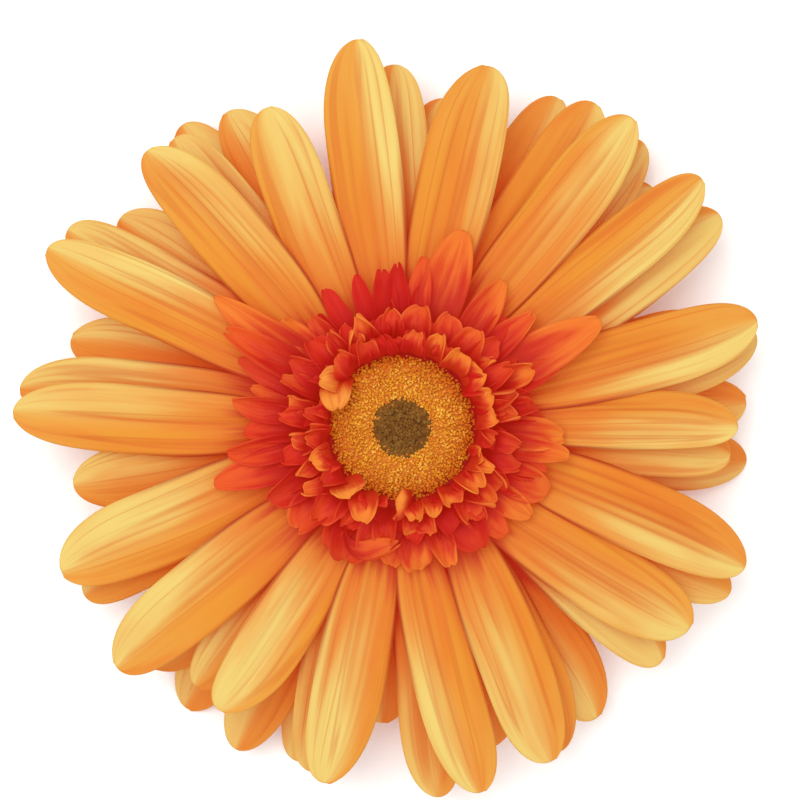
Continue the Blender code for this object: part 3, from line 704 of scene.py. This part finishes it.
def add_strap(shape, sheet, tint, seed, grid, thickness, under=None):
    """Adds a petal whose upper face sheet(along, across) gives and whose points take tint(along, across), or
    the tint named under on its back. It is thinner towards its edges. along runs from 0 at the root to 1,
    across from -1 to 1, and the grid gives the rows along and the columns across."""
    rows, columns = grid
    part = new_shape()
    place, hue = part.verts.layers.float_vector["place"], part.verts.layers.float_vector["tint"]
    bmesh.ops.create_grid(part, x_segments=columns, y_segments=rows, size=0.5)
    for point in part.verts:
        along, across = point.co.y + 0.5, 2 * point.co.x
        point[place] = (across, along, seed)
        point[hue] = tint(along, across)
        point.co = sheet(along, across)
    part.normal_update()
    upper = {tuple(point[place]): (point, point.co.copy(), point.normal.copy()) for point in part.verts}
    bmesh.ops.solidify(part, geom=part.faces[:], thickness=thickness)
    for point in part.verts:
        across, along, _ = point[place]
        top, face, downwards = upper[tuple(point[place])]
        if point is not top:
            thin = 1 - EDGE_THINNING * max(abs(across) ** 4, along ** 12)
            point.co = face + downwards * thickness * thin
            point.co.z = max(point.co.z, 0.0)
            point[hue] = under or point[hue]
    gather(shape, part)


def add_turned(shape, profile, steps, finish, closed=False):
    """Adds a solid turned round the flower's axis from (radius, height) points."""
    points = [shape.verts.new(AXIS + Vector((radius, 0, height))) for radius, height in profile]
    edges = [shape.edges.new(pair) for pair in zip(points, points[1:])]
    if closed:
        edges.append(shape.edges.new((points[-1], points[0])))
    bmesh.ops.spin(shape, geom=points + edges, cent=AXIS, axis=(0, 0, 1), angle=2 * math.pi, steps=steps,
                   use_merge=True)
    bmesh.ops.remove_doubles(shape, verts=shape.verts[:], dist=0.001 * MM)
    for face in shape.faces:
        face.material_index = finish


def add_band(shape, section, place, tint):
    """Adds the band in which the roots of one whorl or row stand, from the four corners of its section."""
    band = new_shape()
    add_turned(band, section, TURN_STEPS, 0, closed=True)
    mark(band, place, tint)
    gather(shape, band)


def drawn(draws, ranges):
    """One value from each range, in their order."""
    return [draws.uniform(*limits) for limits in ranges.values()]


def arched(along, across, tip_row, power):
    """Share of its length passed where the row along has its ends, and at this place across. Rows crowd
    towards the tip and arch round it."""
    row = tip_row * (1 - (1 - along) ** power)
    return row, row + (1 - tip_row) * (1 - across ** 2) * along ** 3


def ray_half_width(share, width, bluntness):
    """Half the petal's width where share of its length is passed."""
    if share < RAY_WIDEST:
        return 0.5 * width * (1 - (1 - RAY_ROOT_WIDTH) * (1 - share / RAY_WIDEST) ** RAY_TAPER_POWER)
    beyond = (share - RAY_WIDEST) / (1 - RAY_WIDEST)
    return 0.5 * width * math.sqrt(max(0.0, 1 - beyond ** bluntness))


@dataclass
class RayPetal:
    """One ray petal: the form of its solid, and the finer draws that its surface adds."""
    bearing: float
    reach: float
    lean: float
    width: float
    root_height: float
    rise: float
    droop: float
    crease: float
    cup: float
    bluntness: float
    behind: float        # how far down it stands, from the upper whorl 0 to the lowest 1, for its painted shade
    grooves: tuple       # place across, depth, breadth and end of each
    roll: float
    sway: float
    wave: float
    waves: float
    phase: float
    fold: float
    gold_and_light: float
    seed: float


def ray_petals_of(whorl):
    """Every petal of a whorl: first the draws of its solid, then its own finer ones."""
    draws = random.Random(whorl.seed)
    finer = random.Random(whorl.seed + 100)
    for bearing, reach, *measured in whorl.petals:
        lean, width, droop, _, crease, cup, bluntness = drawn(draws, RAY_DRAWS)
        if measured:
            lean, width = measured
        droop *= whorl.droop
        if whorl.level == 0 and reach > LYING_REACH:
            span = (reach * MM - RAY_ROOT) / RAY_SPAN
            droop = (whorl.root_height + whorl.rise * span) / span ** 2
        deep = bearing in DEEP_GROOVED
        count = DEEP_GROOVE_COUNT if deep else finer.choice(GROOVE_COUNTS)
        grooves = tuple(
            (place + finer.uniform(-GROOVE_STRAY, GROOVE_STRAY),
             finer.uniform(*GROOVE_DEPTHS[deep]) * MM,
             finer.uniform(*GROOVE_BREADTHS), finer.uniform(*GROOVE_ENDS))
            for place in finer.sample(GROOVE_PLACES, count))
        roll, sway, wave, waves, phase, fold, gold_and_light = drawn(finer, RAY_SURFACE_DRAWS)
        yield RayPetal(
            math.radians(bearing), reach * MM, math.radians(lean), width * MM, whorl.root_height, whorl.rise,
            droop, crease * MM, cup * MM, bluntness * TIP_FULLNESS, (3 - whorl.level) / 3, grooves, -roll,
            sway * MM, wave * MM, waves, phase, fold, gold_and_light, finer.random())


def ease(share):
    """Rises smoothly from 0 to 1, as share does."""
    share = min(1.0, max(0.0, share))
    return share * share * (3 - 2 * share)


def sink(petal, across, along):
    """How deep the petal's grooves go at this place on it."""
    depth = 0.0
    for place, deepest, breadth, end in (*petal.grooves, (petal.fold, *FOLD_GROOVE)):
        lasting = max(0.0, 1 - (along / end) ** 4) * min(1.0, along / GROOVE_START)
        depth += deepest * lasting * math.exp(-((across - place) / breadth) ** 2)
    return depth


def ray_sheet(petal):
    """The upper face of a ray petal: an arched strap with ridges, fine grooves and gently waved edges."""
    def sheet(along, across):
        row, share = arched(along, across, RAY_TIP_ROW, RAY_ROW_POWER)
        half = ray_half_width(row, petal.width, petal.bluntness)
        outwards = RAY_ROOT + (petal.reach - RAY_ROOT) * share
        lean = petal.lean * LEAN_REACH * (petal.reach - outwards) / (petal.reach - LEAN_REACH)
        span = (outwards - RAY_ROOT) / RAY_SPAN
        height = petal.root_height + SOLID_THICKNESS / 2 + petal.rise * span - petal.droop * span ** 2
        ridges = -RIDGE_SHARE * petal.crease * math.cos(2 * math.pi * across) + petal.cup * across ** 2
        ridges *= math.sin(math.pi * min(1.0, share / RIDGES_END)) ** 0.7
        height += ridges - sink(petal, across, along)
        hook = TIP_HOOK * math.sin(petal.phase) * max(0.0, share - HOOK_START) ** 2
        lean += petal.sway * math.sin(math.pi * share) + hook
        half *= 1 + EDGE_STRAY * math.sin(9 * share + petal.phase + math.copysign(2, across))
        height += petal.roll * half * across
        swing = math.sin(2 * math.pi * petal.waves * share + petal.phase)
        height += petal.wave * swing * across ** 3 * share
        return around(petal.bearing, outwards, lean + half * across, max(height, RAY_THICKNESS + OVER_FLOOR))
    return sheet


def make_rays(whorl, finish, root_finish):
    """One whorl of ray petals, with the pale ovaries from which they grow."""
    shape = new_shape()
    start, rise = GOLD_LIGHT_START
    for petal in ray_petals_of(whorl):
        # The tint carries the golden side (its own tone and painted light), the painted shade of its grooves,
        # and how far down the petal stands, for its painted shade.
        def tint(along, across, petal=petal):
            golden = petal.gold_and_light * ease((petal.fold + GOLD_LIGHT_SHIFT - across) / GOLD_LIGHT_SOFTNESS)
            golden *= ease((along - start) / rise)
            return (golden, min(1.0, sink(petal, across, along) / FULL_GROOVE_SHADE), petal.behind)

        add_strap(shape, ray_sheet(petal), tint, petal.seed, RAY_GRID, RAY_THICKNESS, under=RAY_BACK)
    inner, outer = RAY_BAND
    low, high = whorl.root_height - RAY_BAND_HALF, whorl.root_height + RAY_BAND_HALF
    add_band(shape, [(inner, low), (outer, low), (outer, high), (inner, high)], (0, 0, 0.5), (0, 0, 0))
    add_ovaries(shape, whorl.root_height, whorl.seed)
    piece_from(shape, whorl.name.replace("ray_petals", "rays"), (finish, root_finish), "ray_petals",
               whorl.name)


def add_ovaries(shape, height, seed):
    """A ring of small smooth ovaries, side by side, that the petals of one whorl spring from."""
    draws = random.Random(seed)
    length, breadth, depth = OVARY_HALF
    for place in range(OVARIES):
        turn = 2 * math.pi * (place + draws.uniform(-0.2, 0.2)) / OVARIES
        size = Vector((length, breadth * draws.uniform(0.9, 1.1), depth)) * MM
        way = Matrix.Rotation(turn, 3, "Z").to_quaternion()
        form = Matrix.LocRotScale(around(turn, OVARY_RADIUS, 0, height), way, size)
        part = new_shape()
        bmesh.ops.create_uvsphere(part, u_segments=8, v_segments=6, radius=1, matrix=form)
        mark(part, (0, 0, 0), (0, 0, 0), 1)
        gather(shape, part)


@dataclass
class Floret:
    """One trans floret: its place, its form and the finer draws that its surface adds."""
    bearing: float
    reach: float
    width: float
    lift: float
    hollow: float        # half the angle through which it curves from edge to edge
    slant: float         # from the bearing of its tip to that of its root
    turn: float          # twist of its tip about its own length
    sweep: float         # radius of the point towards which it first rises
    hue: float
    rim: float
    bluntness: float
    fold: float
    roll: float
    curl: float
    frill: float
    waves: float
    phase: float
    nick: tuple          # place across, depth and breadth of the nick in its tip
    seed: float


def florets_of(row):
    """Every trans floret of a row, and then the short deep red ones between them."""
    draws = random.Random(row.seed)
    measured = list(row.florets)
    ranges = {
        "step": (0.1, 0.9), "reach": row.between[:2], "width": (3.0, 4.4), "lift": row.between[2:],
        "hollow": (0.6, 1.3), "slant": (-6, 6), "turn": (-0.8, 0.8), "hue": (0.0, 0.2)}
    for place in range(SHORT_FLORETS):
        step, *values = drawn(draws, ranges)
        rim = draws.choice((0.0, 0.0, 0.4))
        measured.append((360 * (place + step) / SHORT_FLORETS, *values, rim))
    for bearing, reach, width, lift, hollow, slant, turn, hue, rim, *sweep in measured:
        bluntness, fold, roll, curl, frill, waves, phase = drawn(draws, FLORET_DRAWS)
        nick = (draws.uniform(*NICK_PLACES), draws.choice(NICK_DEPTHS), draws.uniform(*NICK_BREADTHS))
        yield Floret(
            math.radians(bearing), reach * MM, width * MM, lift * MM, hollow, math.radians(slant), turn,
            sweep[0] * MM if sweep else row.bend[0], hue, rim, bluntness, fold, roll, curl * MM,
            frill * row.frill, waves, phase, nick, draws.random())


def floret_sheet(row, floret):
    """The inner face of a trans floret: it rises from its root, bends outwards and twists, and is hollow
    like a spoon or folded, often with its edges turned in, and waved along its rim."""
    def standing(place, turn):
        radius, height = place
        return Vector((radius * math.cos(turn), radius * math.sin(turn), CORE_TOP + height))

    root = standing(row.root, floret.slant)
    bend = standing((floret.sweep, row.bend[1]), BEND_SLANT * floret.slant)
    tip = standing((floret.reach, floret.lift), 0.0)
    level = (bend - root).cross(tip - bend).normalized()
    if level.y < 0:
        level.negate()
    nick, nick_depth, nick_breadth = floret.nick

    def sheet(along, across):
        row_share, share = arched(along, across, FLORET_TIP_ROW, FLORET_ROW_POWER)
        share -= nick_depth * math.exp(-((across - nick) / nick_breadth) ** 2) * along ** 8
        middle = root * (1 - share) ** 2 + bend * 2 * share * (1 - share) + tip * share ** 2
        course = (bend - root) * (1 - share) + (tip - bend) * share
        out = course.cross(level).normalized()
        lean = floret.turn * share ** 1.5
        upwards = out * math.cos(lean) + level * math.sin(lean)
        sideways = level * math.cos(lean) - out * math.sin(lean)
        swell = math.sin(math.pi * FLORET_SWELL * row_share)
        half = 0.5 * floret.width * (row.root_width + (1 - row.root_width) * swell)
        half *= math.sqrt(max(0.0, 1 - row_share ** floret.bluntness))
        angle = floret.hollow * (0.35 + 0.65 * share)
        bowl = Vector((math.sin(angle * across) / angle, (1 - math.cos(angle * across)) / angle)) * half
        folded = floret.fold * math.sqrt(across ** 2 + FOLD_SOFTNESS)
        folded += max(0.0, floret.roll) * max(0.0, abs(across) - ROLL_START) ** 2
        waved = math.sin(2 * math.pi * floret.waves * along + floret.phase + 2 * across)
        rise = bowl.y + half * share * folded + floret.frill * waved * across ** 2 * along
        middle += sideways * bowl.x + upwards * (rise + floret.curl * share ** 4)
        return around(floret.bearing, middle.x, middle.y, middle.z)
    return sheet


def make_florets(row, finish):
    """One row of trans florets on the band of their roots."""
    shape = new_shape()
    for floret in florets_of(row):
        # The tint carries the hue, the rim and the painted shade at the root.
        def tint(along, across, floret=floret):
            return (floret.hue, floret.rim, row.dark * max(0.0, 1 - along / ROOT_SHADE_END) ** 1.2)

        add_strap(shape, floret_sheet(row, floret), tint, floret.seed, FLORET_GRID, FLORET_THICKNESS)
    inner, outer, low, high = row.band
    section = ((inner, low), (outer, low), (outer, high - BAND_BEVEL), (inner, high))
    # The band takes the full painted shade of the roots.
    add_band(shape, [(radius, CORE_TOP + height) for radius, height in section], (0, 0.2, 0.5), (0, 0, 1))
    piece_from(shape, row.name.replace("trans_florets", "florets"), (finish,), "trans_florets", row.name)


def dome_height(radius):
    """Height of the disc's surface over its base."""
    if radius >= DOME[0][0] * MM:
        return DOME[0][1] * MM
    for (outer, low), (inner, high) in zip(DOME, DOME[1:]):
        if radius >= inner * MM:
            share = (radius / MM - inner) / (outer - inner)
            return (high + (low - high) * share) * MM
    return DOME[-1][1] * MM


def add_grains(shape, grains, surface):
    """Crowds small rounded grains in the spirals of a daisy's disc, about the height surface(radius)."""
    draws = random.Random(grains.seed)
    first, last = (int((radius / grains.spacing) ** 2) for radius in (grains.inner, grains.outer))
    for number in range(first, last):
        radius = grains.spacing * (math.sqrt(number + 0.5) + draws.uniform(-GRAIN_STRAY, GRAIN_STRAY))
        turn = number * GOLDEN_ANGLE + draws.uniform(-GRAIN_TURN_STRAY, GRAIN_TURN_STRAY)
        radius *= 1 + 0.025 * math.sin(3 * turn + 0.7) + 0.018 * math.sin(8 * turn)
        thick, tall = draws.uniform(*grains.girth), draws.uniform(*grains.length)
        height = surface(radius) + draws.uniform(*GRAIN_HEIGHTS) * grains.length[0]
        middle = around(turn, radius, 0, height)
        tilt = Matrix.Rotation(draws.uniform(0, 2 * math.pi), 3, "Z")
        tilt = tilt @ Matrix.Rotation(draws.uniform(*grains.lean), 3, "Y")
        form = Matrix.LocRotScale(middle, tilt.to_quaternion(), Vector((thick, thick, tall)))
        part = new_shape()
        bmesh.ops.create_uvsphere(part, u_segments=6, v_segments=4, radius=1, matrix=form)
        # Each grain carries its own tone, its height for the painted shade at its bottom, and its radius.
        tone = draws.random()
        tint = part.verts.layers.float_vector["tint"]
        for point in part.verts:
            point[tint] = (tone, (point.co.z - middle.z) / (2 * tall) + 0.5, radius / DISC_RADIUS)
        gather(shape, part)


def make_disc(finish, body_finish):
    """The golden ring of open disc florets on its dome: their crowded lips and anthers."""
    shape = new_shape()
    rows = [(0, DISC_BODY_BASE), (DISC_RADIUS, DISC_BODY_BASE)]
    rows += [(radius * MM - DISC_BODY_INSET, height - DISC_BODY_SINK) for radius, height in DOME[:-1]]
    rows.append((0, DISC_BODY_TOP))
    add_turned(shape, [(radius, DISC_LOW.z + height * MM) for radius, height in rows], TURN_STEPS, 1)
    add_grains(shape, DISC_GRAINS, lambda radius: DISC_LOW.z + dome_height(radius) - DISC_GRAIN_SINK)
    piece_from(shape, "open_disc_florets", (finish, body_finish), "disc_florets", "disc_florets")


def make_eye(finish, body_finish):
    """The dark, closed florets in the middle of the disc."""
    shape = new_shape()
    profile = [(0, EYE_LOW.z), (EYE_RADIUS, EYE_LOW.z), (EYE_RADIUS, EYE_BODY_RIM), (0, EYE_BODY_TOP)]
    add_turned(shape, profile, EYE_STEPS, 1)
    add_grains(shape, EYE_GRAINS, lambda radius: EYE_GRAIN_TOP - EYE_ROUNDING * (radius / EYE_RADIUS) ** 4)
    piece_from(shape, "closed_disc_florets", (finish, body_finish), "disc_buds", "disc_buds")


def cup_point(share, stand_off=0.0):
    """Radius and height on the green cup's outside, from its neck (0) to its rim (1), or off it."""
    turn = math.pi / 2 * share
    swell = CUP_RADIUS - CUP_NECK_RADIUS
    outwards = Vector((CUP_HEIGHT * math.sin(turn), -swell * math.cos(turn))).normalized()
    point = Vector((CUP_NECK_RADIUS + swell * math.sin(turn), CUP_LOW + CUP_HEIGHT * (1 - math.cos(turn))))
    return point + outwards * stand_off


def bract_sheet(bearing, start, end, width, stand_off):
    """The outer face of a pointed bract with a rib along its middle."""
    def sheet(along, across):
        out_of_cup = min(1.0, along / BRACT_SURFACES)
        off = (stand_off + BRACT_SINK) * out_of_cup - BRACT_SINK + BRACT_FLARE * along ** 4
        half = 0.5 * width * (1 - BRACT_TAPER * along ** BRACT_TAPER_POWER)
        off -= BRACT_ARCH * half * across ** 2
        off += BRACT_RIB * math.exp(-(across / BRACT_RIB_BREADTH) ** 2) * (1 - along)
        radius, height = cup_point(start + (end - start) * along, off)
        return around(bearing, radius, half * across, height)
    return sheet


def bracts():
    """The outer face and the seed of every bract, row by row."""
    draws = random.Random(BRACT_SEED)
    for row, (start, end, width, stand_off) in enumerate(BRACT_ROWS):
        for place in range(BRACTS_IN_A_ROW):
            turn = place + row / len(BRACT_ROWS) + draws.uniform(-BRACT_STRAY, BRACT_STRAY)
            reach = end - draws.uniform(0.0, BRACT_STRAY)
            bearing = 2 * math.pi * turn / BRACTS_IN_A_ROW
            yield bract_sheet(bearing, start, reach, width, stand_off), turn % 1.0


def make_cup(finish, cup_finish):
    """The green cup: the stem's swollen head and three rows of overlapping bracts."""
    shape = new_shape()
    outside = [tuple(cup_point(step / CUP_CURVE_STEPS)) for step in range(CUP_CURVE_STEPS + 1)]
    core = [(CORE_RADIUS, CUP_RIM), (CORE_RADIUS, CORE_TOP), (0, CORE_TOP)]
    add_turned(shape, [(0, outside[0][1]), *outside, *core], CUP_STEPS, 1)
    for sheet, seed in bracts():
        add_strap(shape, sheet, lambda along, across: (0, 0, 0), seed, BRACT_GRID, BRACT_THICKNESS)
    piece_from(shape, "green_cup", (finish, cup_finish), "bracts", "involucre")


def make_stem(finish, cut_finish):
    """The ribbed stub of stem, with its cut face."""
    shape = new_shape()
    low = STEM_LOW.z
    profile = ((0, low), (STEM_RADIUS * 0.93, low), (STEM_RADIUS, low + 0.25 * MM),
               (STEM_RADIUS, low + 0.6 * STEM_TOP), (CUP_NECK_RADIUS, STEM_TOP), (0, STEM_TOP))
    add_turned(shape, profile, TURN_STEPS, 0)
    place = shape.verts.layers.float_vector["place"]
    for point in shape.verts:
        out = point.co - AXIS
        turn = math.atan2(out.y, out.x)
        if math.hypot(out.x, out.y) > 0.9 * STEM_RADIUS:
            rib = 1 - STEM_RIB_DEPTH * (0.5 + 0.5 * math.cos(STEM_RIBS * turn))
            point.co.x = AXIS.x + out.x * rib
            point.co.y = AXIS.y + out.y * rib
        point[place] = (math.sin(STEM_RIBS / 2 * turn), point.co.z / STEM_TOP * 0.6, 0.3)
    for face in shape.faces:
        face.material_index = 1 if abs(face.normal.z) > 0.9 else 0
    piece_from(shape, "cut_stem", (finish, cut_finish), "stem", "stem")


def add_hair(shape, foot, way, length, radius):
    """One fine hair, as a three-sided spike."""
    way = way.normalized()
    form = Matrix.LocRotScale(foot + way * length / 2, way.to_track_quat("Z", "Y"), Vector((1, 1, 1)))
    part = new_shape()
    bmesh.ops.create_cone(part, cap_ends=True, cap_tris=True, segments=3, radius1=radius,
                          radius2=radius * HAIR_TAPER, depth=length, matrix=form)
    gather(shape, part)


def make_hairs(finish):
    """Fine pale hairs on the stem and on the edges and backs of the bracts."""
    shape = new_shape()
    draws = random.Random(HAIR_SEED)
    on_stem, on_bracts = HAIR_RADII
    for _ in range(STEM_HAIRS):
        turn, height = draws.uniform(0, 2 * math.pi), draws.uniform(0.4 * MM, STEM_TOP)
        foot = around(turn, STEM_RADIUS * 0.97, 0, height)
        way = Matrix.Rotation(turn, 3, "Z") @ Vector((1, draws.uniform(-0.5, 0.5), draws.uniform(-0.6, 0.3)))
        add_hair(shape, foot, way, draws.uniform(0.5, 1.1) * MM, on_stem)
    for sheet, _ in bracts():
        for _ in range(BRACT_HAIRS):
            along = draws.uniform(0.3, 0.98)
            if draws.random() < EDGE_HAIRS:
                across = draws.choice((-1, 1)) * draws.uniform(0.75, 1.0)
                outwards = (sheet(along, across) - sheet(along, across * 0.5)).normalized() * 0.7
            else:
                across = draws.uniform(-0.7, 0.7)
                outwards = Vector()
            foot = sheet(along, across)
            way = outwards + (foot - AXIS - Vector((0, 0, CORE_TOP))).normalized()
            add_hair(shape, foot, way, draws.uniform(0.5, 1.0) * MM, on_bracts)
    piece_from(shape, "fine_hairs", (finish,), "bracts")


def make_floor(finish):
    """A wide pale floor under the flower."""
    shape = bmesh.new()
    bmesh.ops.create_grid(shape, x_segments=1, y_segments=1, size=FLOOR_HALF)
    object_from(shape, "floor", finish)


def add_light(name, place, size, power):
    """A soft square light that faces the flower."""
    data = bpy.data.lights.new(name, "AREA")
    data.size = size
    data.energy = power
    lamp = put(name, data)
    lamp.location = place
    lamp.rotation_euler = (LIGHT_AIM - Vector(place)).to_track_quat("-Z", "Y").to_euler()


def light_scene():
    """Soft studio light: an even pale surround, a large key from the upper left, a fill from the right."""
    scene = bpy.context.scene
    scene.world = bpy.data.worlds.new("soft surround")
    scene.world.use_nodes = True
    surround = scene.world.node_tree.nodes["Background"]
    surround.inputs["Color"].default_value = (1, 1, 1, 1)
    surround.inputs["Strength"].default_value = 1.0
    add_light("key", place=(-0.22, 0.20, 0.85), size=0.5, power=4.2)
    add_light("fill", place=(0.30, -0.22, 0.75), size=0.8, power=0.9)
    scene.view_settings.view_transform = "Standard"
    scene.view_settings.look = "None"


def place_camera():
    """Looks straight down, framed as the flower is in the photograph."""
    data = bpy.data.cameras.new("camera")
    data.lens = 150
    data.sensor_width = 36
    camera = put("camera", data)
    aim = AXIS + Vector((PICTURE_PIXELS / 2 - AXIS_PIXEL.x, AXIS_PIXEL.y - PICTURE_PIXELS / 2, 0)) * PIXEL
    distance = PICTURE_PIXELS * PIXEL * data.lens / data.sensor_width
    camera.location = aim + Vector((0, 0, distance + 0.6 * DISC_HIGH.z))
    bpy.context.scene.camera = camera


def main():
    ray = ray_finish()
    ovary = plain_finish("ovary", rgb(196, 190, 110), rgb(170, 176, 92), scale=900.0, roughness=0.55)
    for whorl in WHORLS:
        make_rays(whorl, ray, ovary)
    trans = floret_finish()
    for row in FLORET_ROWS:
        make_florets(row, trans)
    golden = speckled_finish(
        "open disc floret",
        ((206, 120, 26), (211, 132, 28), (214, 142, 32), (219, 150, 39), (224, 160, 52), (230, 176, 74)),
        shade_and_patch=(198, 110, 22), outermost=(212, 98, 24), roughness=0.7, glow=(0.20, 0.07, 0.003))
    brown = speckled_finish(
        "closed disc floret", ((104, 62, 18), (112, 68, 22), (118, 76, 26), (122, 82, 30), (128, 90, 36)),
        shade_and_patch=(96, 58, 18), outermost=(118, 78, 28), roughness=0.8, glow=(0.07, 0.028, 0.003))
    depths = plain_finish(
        "between the florets", rgb(208, 122, 34), rgb(196, 104, 28), scale=1500.0, roughness=0.8)
    make_disc(golden, depths)
    buds = plain_finish("under the buds", rgb(104, 64, 20), rgb(92, 56, 16), scale=1500.0, roughness=0.8)
    make_eye(brown, buds)
    bract = green_finish("bract", dark=(84, 112, 44), light=(132, 154, 76), tip=(120, 84, 50))
    stem = green_finish("stem", dark=(112, 138, 60), light=(150, 170, 90), tip=(150, 170, 90))
    make_cup(bract, plain_finish("cup", rgb(98, 124, 54), rgb(120, 144, 70), scale=500.0, roughness=0.55))
    cut = plain_finish("cut tissue", rgb(186, 200, 132), rgb(206, 214, 156), scale=1400.0, roughness=0.4)
    make_stem(stem, cut)
    make_hairs(plain_finish("hair", rgb(226, 224, 200), rgb(240, 238, 222), scale=800.0, roughness=0.5))
    make_floor(plain_finish(
        "pale floor", (0.935, 0.97, 0.95, 1), (0.95, 0.98, 0.965, 1), scale=4.0, roughness=0.9))
    light_scene()
    place_camera()


main()
